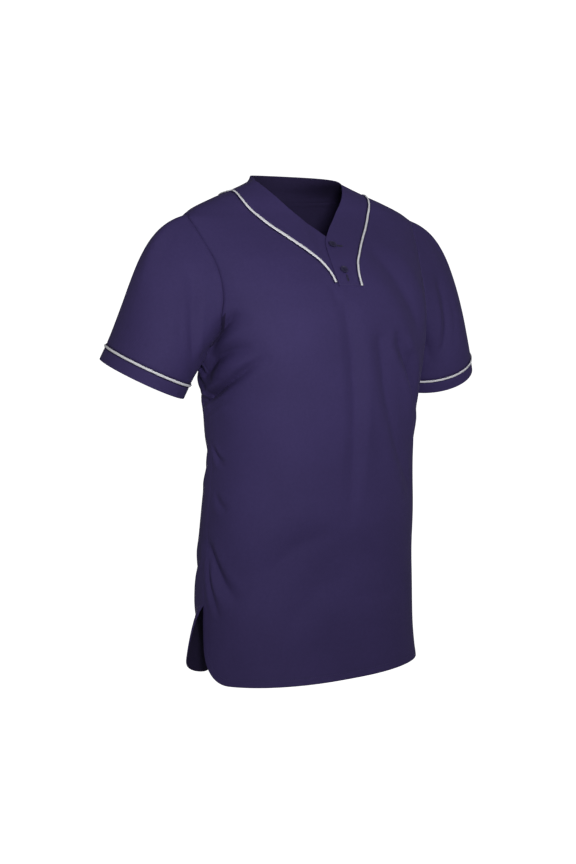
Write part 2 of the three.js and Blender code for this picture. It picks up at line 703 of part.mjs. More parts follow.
// A half-round cord over a seam. Stations give a point of the seam, the cloth's normal, the
// direction along the seam and the cord's width.
function pipingAlong(stations, isRing) {
  const section = shares(STEPS.pipingSection).map((share) => Math.PI * (1 - share));
  const points = stations.flatMap(({ point, normal, run, width }) => {
    const across = run.clone().cross(normal).normalize();
    return section.map((angle) => point.clone()
      .addScaledVector(normal, PIPING.lift + PIPING.height * Math.sin(angle))
      .addScaledVector(across, width / 2 * Math.cos(angle)));
  });
  const size = section.length;
  const triangles = [];
  const spans = isRing ? stations.length : stations.length - 1;
  for (let station = 0; station < spans; station += 1) {
    const next = (station + 1) % stations.length;
    for (let corner = 0; corner < size; corner += 1) {
      const beside = (corner + 1) % size;
      const [a, b] = [station * size + corner, station * size + beside];
      const [c, d] = [next * size + beside, next * size + corner];
      triangles.push([a, b, c], [a, c, d]);
    }
  }
  if (!isRing) {
    const end = (stations.length - 1) * size;
    for (let corner = 1; corner + 1 < size; corner += 1) {
      triangles.push([0, corner + 1, corner], [end, end + corner, end + corner + 1]);
    }
  }
  return outwardSolid(points, triangles);
}

function outwardSolid(points, triangles) {
  const volume = triangles.reduce(
    (sum, [a, b, c]) => sum + points[a].dot(points[b].clone().cross(points[c])),
    0,
  );
  return solidOf(points, volume > 0 ? triangles : triangles.map(([a, b, c]) => [a, c, b]));
}

function withRuns(nodes, width, isRing) {
  const size = nodes.length;
  return nodes.map((node, index) => {
    const before = isRing ? nodes[(index + size - 1) % size] : nodes[Math.max(index - 1, 0)];
    const after = isRing ? nodes[(index + 1) % size] : nodes[Math.min(index + 1, size - 1)];
    return { ...node, run: after.point.clone().sub(before.point).normalize(), width };
  });
}

// Pulls a run's two end stations back, so that runs that meet end to end stay apart.
function shortened(nodes, distance) {
  const cut = (end, inside) => ({
    ...end,
    point: end.point.clone().lerp(inside.point, distance / end.point.distanceTo(inside.point)),
  });
  const last = nodes.length - 1;
  return nodes.map((node, index) => {
    if (index === 0) return cut(node, nodes[1]);
    return index === last ? cut(node, nodes[last - 1]) : node;
  });
}

function makeNeckPipingFront(side) {
  const nodes = BAND.map((section) => seamNode(section, side));
  return pipingAlong(withRuns(shortened(nodes, 3 * SEAM_GAP), PIPING.width, false), false);
}

function makeNeckPipingBack() {
  const nodes = shares(STEPS.back).map((share) => {
    const turn = mix(1, 3, share);
    return torsoNode(turn, backSeamHeight(turn));
  });
  return pipingAlong(withRuns(shortened(nodes, 3 * SEAM_GAP), PIPING.width, false), false);
}

function makeSleevePiping(side) {
  const nodes = ARM_ROUND.map(
    (angle) => mirrored({ point: cuffPoint(side, angle, 0), normal: cuffNormal(angle) }, side),
  );
  return pipingAlong(withRuns(nodes, PIPING.width, true), true);
}

function makeButton() {
  const disc = new THREE.Shape().absarc(0, 0, BUTTON.diameter / 2, 0, 2 * Math.PI);
  const reach = BUTTON.holePitch / 2;
  for (const [x, y] of [[1, 1], [-1, 1], [-1, -1], [1, -1]]) {
    const hole = new THREE.Path();
    disc.holes.push(hole.absarc(x * reach, y * reach, BUTTON.hole / 2, 0, 2 * Math.PI, true));
  }
  const geometry = new THREE.ExtrudeGeometry(disc, {
    depth: BUTTON.thick, bevelEnabled: false, curveSegments: 10, steps: 1,
  });
  geometry.deleteAttribute('normal');
  geometry.deleteAttribute('uv');
  return mergeVertices(geometry);
}

// A button lies flat on the overlap, with the least gap where the cloth bulges most.
function placeButton(mesh, { x, z }) {
  const node = torsoNode(frontTurn(x, z), z);
  mesh.quaternion.setFromUnitVectors(new THREE.Vector3(0, 0, 1), node.normal);
  mesh.position.copy(node.point).addScaledVector(node.normal, 2 * SEAM_GAP);
}

const COLOURS = { cloth: 0x3a3160, piping: 0xe9e8ee, buttons: 0x2f2855 };

const finish = (color, roughness) => new THREE.MeshStandardMaterial({ color, roughness });
const knit = () => finish(COLOURS.cloth, 0.78);
const piped = () => finish(COLOURS.piping, 0.6);
const dyed = () => finish(COLOURS.buttons, 0.35);

const garment = new THREE.Group();

function addPiece(name, geometry, material) {
  const mesh = new THREE.Mesh(geometry, material);
  mesh.name = name;
  garment.add(mesh);
  return mesh;
}

addPiece('front', makeFront(), knit());
addPiece('back', makeBack(), knit());
addPiece('neck_band_back', makeBandBack(), knit());
addPiece('neck_piping_back', makeNeckPipingBack(), piped());
for (const [hand, side] of [['right', -1], ['left', 1]]) {
  addPiece(`sleeve_${hand}`, makeSleeve(side), knit());
  addPiece(`cuff_${hand}`, makeCuff(side), knit());
  addPiece(`sleeve_piping_${hand}`, makeSleevePiping(side), piped());
  addPiece(`neck_band_${hand}`, makeBandFront(side), knit());
  addPiece(`neck_piping_${hand}`, makeNeckPipingFront(side), piped());
}
for (const button of BUTTONS) placeButton(addPiece(button.name, makeButton(), dyed()), button);

export default garment;
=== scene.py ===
import math

import bmesh
import bpy
import numpy as np
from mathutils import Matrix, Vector


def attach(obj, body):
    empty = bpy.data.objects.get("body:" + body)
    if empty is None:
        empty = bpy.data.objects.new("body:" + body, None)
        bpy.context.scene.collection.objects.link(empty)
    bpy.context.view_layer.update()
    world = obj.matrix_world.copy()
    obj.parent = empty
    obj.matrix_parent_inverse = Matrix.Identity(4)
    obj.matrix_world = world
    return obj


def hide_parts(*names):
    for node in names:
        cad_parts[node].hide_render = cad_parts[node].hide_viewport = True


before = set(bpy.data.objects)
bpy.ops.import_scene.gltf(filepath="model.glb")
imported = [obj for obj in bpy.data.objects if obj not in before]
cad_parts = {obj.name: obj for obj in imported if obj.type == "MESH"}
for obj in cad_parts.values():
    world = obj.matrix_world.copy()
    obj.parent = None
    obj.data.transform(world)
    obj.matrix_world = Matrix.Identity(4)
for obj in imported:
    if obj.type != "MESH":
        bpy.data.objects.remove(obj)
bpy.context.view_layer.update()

# A jersey with a V neck, a two-button placket, piping and vented tails. The forms are worked out
# in millimetres, with +X the wearer's left, -Y the front and +Z up, and made in metres.

# Forms
MM = 0.001
# The cloth's wall, and a quarter of the girth on the flat map, where one turn is a quarter
WALL = 1.2
QUARTER = 245.0
# The map runs from -1 at the wearer's right side to here, just before that side again
MAP_END = 2.999
HANDS = (("right", -1), ("left", 1))

# Heights of the body, its vents and its neck, and the reach of the hem's rounded corners
HEM = -744.0
VENT_TOP = -632.0
CORNER_ACROSS = 58.0
CORNER_UP = 52.0
ARMPIT = -246.0
SHOULDER = -54.0
PLACKET_FOOT = -158.0
NECK_SEAM = -17.0
NECK_EDGE_RISE = 12.0
NECK_SEAM_DROP = 12.0
NECK_EDGE_ROUND = 0.5

# The vents' edges draw apart, and the back's tail flares beside them and hollows behind that
VENT_SPREAD = 18.0
VENT_FREE = 3.0
VENT_FLARE = 30.0
VENT_CURL = 0.12
HOLLOW_DEEP = 1.1
HOLLOW_AT = 0.28
HOLLOW_WIDE = 0.2
EDGE_OPENING = 0.7
HOLLOW_OPENING = 2.0

# How many turns the armholes bite into front and back
FRONT_BITE = 0.31
BACK_BITE = 0.25

# Sleeves and cuffs. Angles are in degrees, and the pulls are shares of a sleeve's length
CUFF_CENTRE = np.array([261.0, -2.0, -277.0])
CUFF_ACROSS = 66.0
CUFF_FORWARD = 72.0
CUFF_UNEVEN = np.array([2.5, 0.0, 5.5])
CUFF = 21.0
SLEEVE_LEAN = 22.0
SLEEVE_SWING = 13.0
SLEEVE_CAP_DROP = 12.0
SLEEVE_UNDER_LEAN = 38.0
PULL_CAP = 1.1
PULL_UNDER = 0.8
PULL_CUFF = 1.2
SLEEVE_LENGTH = 150.0

# height, half, front, back, side, round
RINGS = np.array([
    (-765, 193, 126, 109, -18, 2.3),
    (-690, 187, 117, 113, -19, 2.3),
    (-600, 182, 116, 112, -22, 2.3),
    (-500, 177, 122, 101, -25, 2.3),
    (-410, 171, 129, 92, -27, 2.3),
    (-330, 177, 134, 94, -29, 2.3),
    (-255, 190, 133, 102, -29, 2.35),
    (-200, 197, 124, 107, -29, 2.35),
    (-160, 201, 109, 107, -28, 2.3),
    (-120, 204, 84, 103, -26, 2.25),
    (-87, 207, 59, 96, -21, 2.2),
    (-60, 207, 40, 89, -15, 2.15),
    (-48, 194, 33, 85, -12, 2.15),
    (-28, 150, 27, 80, -7, 2.1),
    (-14, 112, 21, 76, -3, 2.05),
    (-5, 90, 15, 71, -1, 2),
    (0, 80, 12, 69, 0, 2),
    (6, 76, 11, 68, 0, 2),
    (20, 72, 10, 68, 0, 2),
], float)

# seam x, seam z, edge x, edge z, extra seam x on the right, piping width on the left and right
BAND = np.array([
    (22, -158, -18, -158, 0, 4.2, 4.4),
    (24, -142, -17, -140, 0, 4.2, 4.6),
    (31, -124, -15, -118, 1, 4.0, 5.4),
    (45, -107, -10, -97, 2, 4.0, 6.6),
    (64, -88, 8, -76, 4, 4.4, 7.0),
    (87, -66, 32, -55, 6, 4.6, 6.4),
    (105, -45, 53, -34, 6, 4.4, 5.2),
    (116, -28, 69, -15, 3, 4.0, 4.4),
    (121, -17, 80, 0, 0, 3.6, 4.0),
], float)

# The right band dips under the left one between these distances from the centre
UNDERLAP_START = -34.0
UNDERLAP_FULL = -19.0
UNDERLAP_DEEP = WALL + 0.8
BAND_PROUD = 0.3

# The folds that the solids have too: turn, height, to turn, to height, wide, deep
FOLDS = np.array([
    (-0.99, -320, -0.52, -261, 12, 5),
    (-0.97, -283, -0.62, -203, 13, 5),
    (-0.93, -264, -0.55, -240, 12, 3),
    (0.95, -300, 0.66, -262, 14, 4),
    (0.27, -246, 0.6, -345, 13, 5.5),
    (0.15, -240, 0.48, -470, 19, 4.5),
    (0.3, -150, 0.47, -225, 22, 3.5),
    (-0.05, -200, -0.02, -500, 15, 3.5),
    (-0.98, -548, -0.68, -614, 14, 4),
    (-0.6, -592, 0.5, -566, 44, 5),
    (1.1, -270, 1.55, -215, 17, 5),
    (2.9, -275, 2.5, -222, 17, 5),
    (1.72, -330, 1.78, -500, 20, 4),
    (2.24, -350, 2.2, -545, 22, 4.5),
    (1.25, -420, 1.6, -460, 18, 3.5),
    (2.8, -400, 2.45, -452, 18, 4),
], float)

# Finer creases, each with a bow to one side: turn, height, to turn, to height, bow, wide, deep
CREASES = np.array([
    (-1.2, -332, -0.52, -259, -12, 5.5, 8.5),
    (-1.08, -346, -0.6, -284, -6, 5, 2.6),
    (-0.92, -254, -0.62, -194, 3, 8, 8.5),
    (-1.02, -288, -0.56, -244, 8, 9, 6.0),
    (-0.055, -185, -0.01, -505, 3, 8, 2.4),
    (0.06, -210, 0.07, -480, 0, 12, -1.8),
    (0.13, -235, 0.52, -475, -22, 9, 3.4),
    (0.26, -230, 0.6, -350, -8, 8, 6.0),
    (0.38, -262, 0.66, -410, -6, 8, 5.0),
    (0.24, -110, 0.47, -235, 6, 16, 4.6),
    (-0.98, -398, -0.85, -416, -4, 5, 3.8),
    (-0.92, -467, -0.78, -484, -3, 6, 2.8),
    (-0.96, -545, -0.67, -618, -5, 8, 5.0),
    (-0.98, -565, -0.79, -646, -6, 6, 4.4),
    (-0.45, -566, -0.08, -520, 12, 20, 3.4),
    (0.05, -533, 0.46, -645, -8, 20, 3.8),
    (-0.34, -660, -0.12, -590, 4, 18, 2.2),
    (0.05, -618, 0.34, -630, 2, 14, 1.6),
    (-0.094, -158, -0.1, -184, 0, 5, 1.6),
    (0.97, -298, 0.62, -252, 8, 6, 4.8),
    (0.97, -322, 0.7, -290, 5, 6, 3.4),
    (1.03, -292, 1.42, -232, 8, 7, 5.2),
    (1.03, -312, 1.5, -284, 8, 6, 4.2),
    (1.04, -334, 1.32, -322, 4, 6, 2.6),
    (2.96, -288, 2.58, -226, -8, 7, 5.2),
    (2.96, -306, 2.5, -276, -9, 6, 4.4),
    (2.94, -330, 2.68, -314, -4, 6, 2.0),
    (1.86, -120, 1.7, -300, 12, 15, 3.8),
    (2.12, -130, 2.34, -330, -10, 15, 4.0),
    (1.3, -150, 1.5, -215, 8, 14, 3.2),
    (2.72, -140, 2.46, -214, -8, 14, 3.2),
    (1.05, -402, 1.3, -424, -4, 7, 3.6),
    (2.84, -420, 2.6, -448, 5, 7, 3.0),
    (1.05, -470, 1.24, -492, -4, 7, 2.6),
    (1.6, -420, 2.1, -446, 10, 17, 3.6),
    (1.9, -465, 2.5, -438, -10, 16, 3.6),
    (1.08, -548, 1.4, -622, 8, 10, 3.8),
    (2.84, -560, 2.55, -640, -8, 10, 3.4),
    (2.0, -520, 1.94, -690, 6, 20, 3.2),
], float)

# Folds of the sleeves: angle, along, to angle, to along, wide, deep
SLEEVE_FOLDS = np.array([
    (74, 0.3, 126, 0.85, 14, 3.5),
    (232, 0.25, 268, 0.85, 15, 3.5),
], float)

# Finer creases of the sleeves: angle, along, to angle, to along, bow, wide, deep
SLEEVE_CREASES = np.array([
    (76, 0.3, 116, 0.72, 5, 9, 3.2),
    (66, 0.42, 100, 0.8, 4, 8, 2.4),
    (150, 0.2, 130, 0.8, 5, 9, 1.8),
    (178, 0.12, 160, 0.9, 4, 8, 2.4),
    (205, 0.12, 228, 0.8, -5, 7, 4.0),
    (30, 0.1, 42, 0.5, 2, 14, 2.0),
    (262, 0.3, 240, 0.8, 4, 9, 3.0),
    (300, 0.4, 286, 0.95, -5, 10, 2.4),
], float)

# A crease's section: how sharp and narrow its valley is, and how high and far out its shoulders
VALLEY_SHARP = 1.3
VALLEY_NARROW = 1.7
RIDGE_HIGH = 0.36
RIDGE_AT = 2.1

# The folds fade out over this height below the shoulders, and the unevenness a little lower
# and over some turns beside the side seams
FOLD_FADE = 60.0
CALM_BELOW = 20.0
CALM_FADE = 80.0
CALM_TURNS = 0.12

# Shares of a sleeve over which its folds fade at the armhole and at the cuff
SLEEVE_FADE_IN = 0.25
SLEEVE_FADE_OUT = 0.2
SLEEVE_UNEVEN = 0.8

# Steps over which a surface's normal is taken
TURN_STEP = 0.01
HEIGHT_STEP = 1
ALONG_STEP = 0.01


def mix(low, high, share):
    return low + (high - low) * share


def ease(value):
    value = np.clip(value, 0, 1)
    return value * value * (3 - 2 * value)


def bump(value):
    return np.exp(-value * value)


def unit(vectors):
    return vectors / np.maximum(np.linalg.norm(vectors, axis=-1, keepdims=True), 1e-9)


def paired(first, second):
    """Two values as arrays of one shape"""
    return np.broadcast_arrays(np.asarray(first, float), np.asarray(second, float))


def mirrored(points, side):
    return points * np.array([side, 1, 1])


def hermite(start, start_pull, end, end_pull, share):
    rest = 1 - share
    return ((1 + 2 * share) * rest * rest * start + share * rest * rest * start_pull
            + share * share * (3 - 2 * share) * end - share * share * rest * end_pull)


def smooth_curve(xs, ys):
    """A curve through rows with no overshoot between them"""
    span = np.diff(xs)
    rise = np.diff(ys) / span
    slopes = np.zeros(len(xs))
    slopes[0], slopes[-1] = rise[0], rise[-1]
    for row in range(1, len(xs) - 1):
        before, after = rise[row - 1], rise[row]
        if before * after > 0:
            near = 2 * span[row] + span[row - 1]
            far = span[row] + 2 * span[row - 1]
            slopes[row] = (near + far) / (near / before + far / after)

    def curve(at):
        at = np.asarray(at, float)
        row = np.clip(np.searchsorted(xs, at, side="right") - 1, 0, len(xs) - 2)
        share = np.clip((at - xs[row]) / span[row], 0, 1)
        return hermite(ys[row], slopes[row] * span[row], ys[row + 1], slopes[row + 1] * span[row],
                       share)

    return curve


HALF, FRONT, BACK, SIDE, ROUND = (smooth_curve(RINGS[:, 0], RINGS[:, c]) for c in range(1, 6))
SECTION = np.arange(len(BAND), dtype=float)
SEAM_X, SEAM_Z, EDGE_X, EDGE_Z, RIGHT_SEAM, PIPE_LEFT, PIPE_RIGHT = (
    smooth_curve(SECTION, BAND[:, c]) for c in range(7))


def plain_torso(turn, height):
    """The body without folds: a rounded ring at each height"""
    turn, height = paired(turn, height)
    sine, cosine = np.sin(turn * np.pi / 2), np.cos(turn * np.pi / 2)
    power = ROUND(height)
    reach = (np.abs(sine) ** power + np.abs(cosine) ** power) ** (-1 / power)
    depth = np.where(cosine < 0, BACK(height), FRONT(height))
    return np.stack([HALF(height) * reach * sine, SIDE(height) - depth * reach * cosine, height],
                    axis=-1)


def normal_of(surface, u, v, du, dv):
    along_u = surface(u + du, v) - surface(u - du, v)
    along_v = surface(u, v + dv) - surface(u, v - dv)
    return unit(np.cross(along_u, along_v))


def surface_normals(surface, turn, height):
    return normal_of(surface, turn, height, TURN_STEP, HEIGHT_STEP)


def along_line(x, y, start, end):
    """How far along a line on the flat map a place lies, and how far off it, with its side"""
    run = end - start
    share = ((x - start[0]) * run[0] + (y - start[1]) * run[1]) / (run @ run)
    held = np.clip(share, 0, 1)
    off_x = x - start[0] - held * run[0]
    off_y = y - start[1] - held * run[1]
    side = np.sign(run[0] * off_y - run[1] * off_x)
    return held, np.hypot(off_x, off_y), side


def fold_taper(share):
    """A fold is shallower at its ends, most of all where it starts"""
    return mix(0.35, 1, np.sin(np.pi * mix(0.25, 0.95, share)))


def crease_profile(across):
    """A narrow valley with soft shoulders, as a fraction of its depth"""
    valley = np.exp(VALLEY_SHARP * (1 - np.sqrt(1 + (VALLEY_NARROW * across) ** 2)))
    return valley - RIDGE_HIGH * bump(np.abs(across) - RIDGE_AT)


def map_folds(x, y, folds, creases):
    """How far all the folds and creases push the cloth in at a place on the flat map"""
    depth = np.zeros(np.shape(x))
    for x0, y0, x1, y1, wide, deep in folds:
        share, away, _ = along_line(x, y, np.array([x0, y0]), np.array([x1, y1]))
        depth += deep * fold_taper(share) * bump(away / wide)
    for x0, y0, x1, y1, bow, wide, deep in creases:
        share, away, side = along_line(x, y, np.array([x0, y0]), np.array([x1, y1]))
        across = (away * side - bow * np.sin(np.pi * share)) / wide
        ends = np.sin(np.pi * mix(0.14, 1, share)) ** 0.8
        past = bump(np.where((share <= 0) | (share >= 1), away, 0) / (2 * wide))
        depth += deep * crease_profile(across) * ends * past
    return depth


def scaled(table, columns, factor):
    table = table.copy()
    table[:, columns] *= factor
    return table


FOLD_MAP = scaled(FOLDS, [0, 2], QUARTER)
CREASE_MAP = scaled(CREASES, [0, 2], QUARTER)


def unevenness(x, y):
    """Shallow unevenness of the cloth, from a few long waves"""
    return (0.5 * np.sin(x / 31 + 1.3 * np.sin(y / 57)) * np.sin(y / 43 + 0.7)
            + 0.35 * np.sin(x / 17 + y / 39 + 2.1) * np.sin(y / 71 - x / 90))


def torso_depth(turn, height):
    """The depth of folds and unevenness. Places past the side lines count on both rounds"""
    turn = np.where(turn < -1, turn + 4, turn)
    depth = np.zeros(np.shape(turn))
    for shift in (0, -4, 4):
        x = (turn + shift) * QUARTER
        depth = depth + map_folds(x, height, FOLD_MAP, CREASE_MAP)
    x = np.where(turn > MAP_END, turn - 4, turn) * QUARTER
    depth = depth * ease((SHOULDER - height) / FOLD_FADE)
    calm = (ease((SHOULDER - CALM_BELOW - height) / CALM_FADE)
            * ease(np.abs(turn % 2 - 1) / CALM_TURNS))
    return depth + calm * unevenness(x, height)


def torso(turn, height):
    turn, height = paired(turn, height)
    outward = surface_normals(plain_torso, turn, height)
    return plain_torso(turn, height) - outward * torso_depth(turn, height)[..., None]


def back(turn, height):
    """The torso with the flare of the back's tail"""
    turn, height = paired(turn, height)
    point = torso(turn, height)
    away = np.minimum(turn, 4 - turn) - 1
    down = np.clip((VENT_TOP - height) / (VENT_TOP - HEM), 0, 1)
    opened = np.sin(down * np.pi / 2)
    outward = bump(away / VENT_CURL) * opened ** EDGE_OPENING
    inward = HOLLOW_DEEP * bump((away - HOLLOW_AT) / HOLLOW_WIDE) * opened ** HOLLOW_OPENING
    point[..., 0] += np.sign(2 - turn) * VENT_FLARE * (outward - inward)
    return point


def front_turn(x, height):
    """The turn where the front reaches a distance from the centre line"""
    across = np.clip(np.abs(x) / HALF(height), 0, 1)
    forward = (1 - across ** ROUND(height)) ** (1 / ROUND(height))
    return np.sign(x) * np.arctan2(across, forward) / (np.pi / 2)


ARM_MIDDLE = (SHOULDER + ARMPIT) / 2
ARM_HALF = (SHOULDER - ARMPIT) / 2
FOOT_ANGLE = math.acos((PLACKET_FOOT - ARM_MIDDLE) / ARM_HALF)


def arm_height(angle):
    return ARM_MIDDLE + ARM_HALF * np.cos(angle)


def arm_turn(angle):
    bite = np.where(angle <= np.pi, -FRONT_BITE, BACK_BITE)
    return 1 + bite * np.abs(np.sin(angle))


def cuff_tilt():
    swing, lean = math.radians(SLEEVE_SWING), math.radians(SLEEVE_LEAN)
    about_x = np.array([[1, 0, 0], [0, math.cos(swing), -math.sin(swing)],
                        [0, math.sin(swing), math.cos(swing)]])
    about_y = np.array([[math.cos(lean), 0, -math.sin(lean)], [0, 1, 0],
                        [math.sin(lean), 0, math.cos(lean)]])
    return about_y @ about_x


CUFF_TILT = cuff_tilt()
CUFF_AXIS = CUFF_TILT @ np.array([0.0, 0.0, -1.0])
CUFF_OUT = CUFF_TILT @ np.array([1.0, 0.0, 0.0])
CUFF_FRONT = CUFF_TILT @ np.array([0.0, -1.0, 0.0])


def cuff_point(side, angle, down):
    """A point of the cuff, mirrored to the wearer's left"""
    angle, down = paired(angle, down)
    return (CUFF_CENTRE - side * CUFF_UNEVEN
            + CUFF_ACROSS * np.cos(angle)[..., None] * CUFF_OUT
            + CUFF_FORWARD * np.sin(angle)[..., None] * CUFF_FRONT
            + down[..., None] * CUFF_AXIS)


def armhole(side, angle):
    """A point of the armhole's seam, mirrored to the wearer's left"""
    return mirrored(torso(arm_turn(angle) * side, arm_height(angle)), side)


def plain_sleeve(side, angle, along):
    """The sleeve without folds: a curve from each point of the armhole to the cuff"""
    angle, along = paired(angle % (2 * np.pi), along)
    start, end = armhole(side, angle), cuff_point(side, angle, 0.0)
    length = np.linalg.norm(end - start, axis=-1, keepdims=True)
    top = ((1 + np.cos(angle)) / 2)[..., None]
    drop, lean = math.radians(SLEEVE_CAP_DROP), math.radians(SLEEVE_UNDER_LEAN)
    cap = np.array([math.cos(drop), 0, -math.sin(drop)])
    under = np.array([math.sin(lean), 0, -math.cos(lean)])
    first = unit(mix(under, cap, top))
    pull = mix(PULL_UNDER, PULL_CAP, top)
    return hermite(start, first * length * pull, end, CUFF_AXIS * length * PULL_CUFF,
                   along[..., None])


def sleeve_map(table):
    table = table.copy()
    table[:, [0, 2]] = np.radians(table[:, [0, 2]]) * CUFF_ACROSS
    return scaled(table, [1, 3], SLEEVE_LENGTH)


SLEEVE_FOLD_MAP = sleeve_map(SLEEVE_FOLDS)
SLEEVE_CREASE_MAP = sleeve_map(SLEEVE_CREASES)


def sleeve(side, angle, along):
    angle, along = paired(angle % (2 * np.pi), along)
    x, y = angle * CUFF_ACROSS, along * SLEEVE_LENGTH
    depth = map_folds(x, y, SLEEVE_FOLD_MAP, SLEEVE_CREASE_MAP)
    depth = depth + SLEEVE_UNEVEN * unevenness(np.sin(angle) * CUFF_ACROSS + 90,
                                               y + 40 * np.cos(angle))
    fade = ease(along / SLEEVE_FADE_IN) * ease((1 - along) / SLEEVE_FADE_OUT)
    turned = (plain_sleeve(side, angle + TURN_STEP, along)
              - plain_sleeve(side, angle - TURN_STEP, along))
    before = np.maximum(along - ALONG_STEP, 0)
    run = plain_sleeve(side, angle, along + ALONG_STEP) - plain_sleeve(side, angle, before)
    outward = unit(np.cross(turned, run))
    return plain_sleeve(side, angle, along) - outward * (depth * fade)[..., None]


# Grids of the panels: each is a lattice of points with its places on the flat map

# Distances from an edge of its close rows, and the width of the cells past them
EDGE_STEPS = np.array([0, 0.7, 1.4, 2.2, 3.4, 5.2, 7.4, 9.2, 10.4, 11.6, 13.5])
CELL = 3.2
FINE_CELL = 2.6


def spaced(length, cell=CELL):
    """Shares from 0 to 1 of a length, closer together near its ends"""
    edge = EDGE_STEPS[-1]
    inner = length - edge - edge
    middle = np.linspace(0, inner, max(int(inner / cell), 2) + 1)[1:-1] + edge
    return np.concatenate([EDGE_STEPS, middle, length - EDGE_STEPS[::-1]]) / length


# Heights of the rows beside the hem's rounded corners and above them
CORNER_ROWS = HEM + CORNER_UP * (1 - np.cos(np.linspace(0, 1, 35) * np.pi / 2))
BODY_ROWS = np.linspace(HEM + CORNER_UP, ARMPIT, 140)[1:]
FINE_ROWS = np.linspace(HEM + CORNER_UP, ARMPIT, 166)[1:]


def corner_set_back(height):
    """How far a rounded corner of the hem stands in from the side"""
    up = np.clip((HEM + CORNER_UP - height) / CORNER_UP, 0, 1)
    return CORNER_ACROSS * (1 - np.sqrt(1 - up * up))


def front_side_turn(height):
    spread = VENT_SPREAD * ease((VENT_TOP - height) / (VENT_TOP - HEM))
    return 1 - (corner_set_back(height) + spread) / QUARTER


def back_side_turn(height):
    return 1 + corner_set_back(height) / QUARTER


def backward(turn):
    """0 at the shoulder lines and 1 at the middle of the back"""
    return np.maximum(np.sin((turn - 1) * np.pi / 2), 0)


def seam_reach(side, section):
    """How far the band's seam lies from the centre"""
    return SEAM_X(section) + (RIGHT_SEAM(section) if side < 0 else 0)


def hem_and_vents(edge_height, shape):
    """Which points of a body panel lie on its free edges"""
    free = np.zeros(shape, bool)
    free[0] = True
    vent = edge_height < VENT_TOP - VENT_FREE
    free[vent, 0] = True
    free[vent, -1] = True
    return free


def grid(surface, u, v, free=None):
    free = np.zeros(u.shape, bool) if free is None else free
    return {"points": surface(u, v), "map": np.stack([u * QUARTER, v], axis=-1), "free": free}


def front_grids():
    """The front up to the placket's foot, and above it a wing on each side of the placket"""
    foot = front_turn(BAND[0, 0], PLACKET_FOOT)
    top_turn = arm_turn(FOOT_ANGLE)
    wing = spaced((top_turn - foot) * QUARTER, FINE_CELL)
    placket = np.linspace(0, foot, 9)[:-1]
    outwards = np.concatenate([placket, mix(foot, top_turn, wing)]) / top_turn
    columns = np.concatenate([-outwards[:0:-1], outwards])
    heights = np.concatenate([CORNER_ROWS, FINE_ROWS])
    angles = np.linspace(np.pi, FOOT_ANGLE, 34)[1:]
    edge_height = np.concatenate([heights, arm_height(angles)])
    edge_turn = np.concatenate([front_side_turn(heights), arm_turn(angles)])
    middle = np.concatenate([heights, np.linspace(ARMPIT, PLACKET_FOOT, 34)[1:]])
    turn = columns[None] * edge_turn[:, None]
    height = mix(middle[:, None], edge_height[:, None], columns[None] ** 4)
    grids = [grid(torso, turn, height, hem_and_vents(edge_height, turn.shape))]
    section = np.linspace(0, len(BAND) - 1, 57)
    angle = FOOT_ANGLE * (1 - section / (len(BAND) - 1))
    for side in (-1, 1):
        seam_turn = front_turn(seam_reach(side, section), SEAM_Z(section))
        turn = side * mix(seam_turn[:, None], arm_turn(angle)[:, None], wing[None])
        height = mix(SEAM_Z(section)[:, None], arm_height(angle)[:, None], wing[None])
        grids.append(grid(torso, turn, height))
    return grids


def back_grids():
    heights = np.concatenate([CORNER_ROWS, BODY_ROWS])
    angles = np.linspace(np.pi, 0, 56)[1:]
    shoulder = np.linspace(SHOULDER, NECK_SEAM, 16)[1:]
    edge_height = np.concatenate([heights, arm_height(angles), shoulder])
    middle = np.concatenate([heights, np.linspace(ARMPIT, SHOULDER, 56)[1:], shoulder])
    edge_turn = np.concatenate([back_side_turn(heights), 2 - arm_turn(angles)
                                + (BACK_BITE - FRONT_BITE) * np.sin(angles),
                                np.ones(len(shoulder))])
    share = spaced(2 * QUARTER)
    turn = mix(edge_turn[:, None], 4 - edge_turn[:, None], share[None])
    sideward = (2 * share[None] - 1) ** 4
    height = mix(middle[:, None], edge_height[:, None], sideward)
    lift = ease((edge_height - ARMPIT) / (NECK_SEAM - ARMPIT))[:, None]
    height = height - NECK_SEAM_DROP * (backward(turn) - backward(edge_turn[:, None])) * lift
    return [grid(back, turn, height, hem_and_vents(edge_height, turn.shape))]


# Lengths that set the spacing of the bands' cells
BAND_BACK_LENGTH = 300.0
BAND_WIDTH = 46.0


def band_back_grids():
    turn = mix(1.0, 3.0, spaced(BAND_BACK_LENGTH))[None]
    low = NECK_SEAM - NECK_SEAM_DROP * backward(turn)
    high = NECK_EDGE_RISE * backward(turn) ** NECK_EDGE_ROUND
    up = np.linspace(0, 1, 15)[:, None]
    height = mix(low, high, up)
    turn = np.broadcast_to(turn, height.shape)
    free = np.zeros(turn.shape, bool)
    free[-1] = True
    return [grid(torso, turn, height, free)]


def band_front_grids(side):
    section = np.linspace(0, len(BAND) - 1, 81)[:, None]
    share = spaced(BAND_WIDTH)[None]
    x = mix(seam_reach(side, section), EDGE_X(section), share)
    height = mix(SEAM_Z(section), EDGE_Z(section), share)
    turn = front_turn(x, height) * side
    free = np.zeros(turn.shape, bool)
    free[:, -1] = True
    if side < 0:
        # The left band covers the lower end of the right one
        free[0] = False
    return [grid(torso, turn, height, free)]


AROUND = np.linspace(0, 2 * np.pi, 125)
CUFF_ROWS = np.array([0, 0.7, 1.4, 2.4, 4, 6, 8, 10, 12, 14, 15.5, 16.6, 17.7, 19, 20.3, CUFF])


def tube_grids(side, points, angle, down):
    """A closed tube, from points on the wearer's left, and places on its own map"""
    points[:, -1] = points[:, 0]
    places = np.stack([angle * CUFF_ACROSS, -down], axis=-1)
    return [{"points": mirrored(points, side), "map": places,
             "free": np.zeros(angle.shape, bool)}]


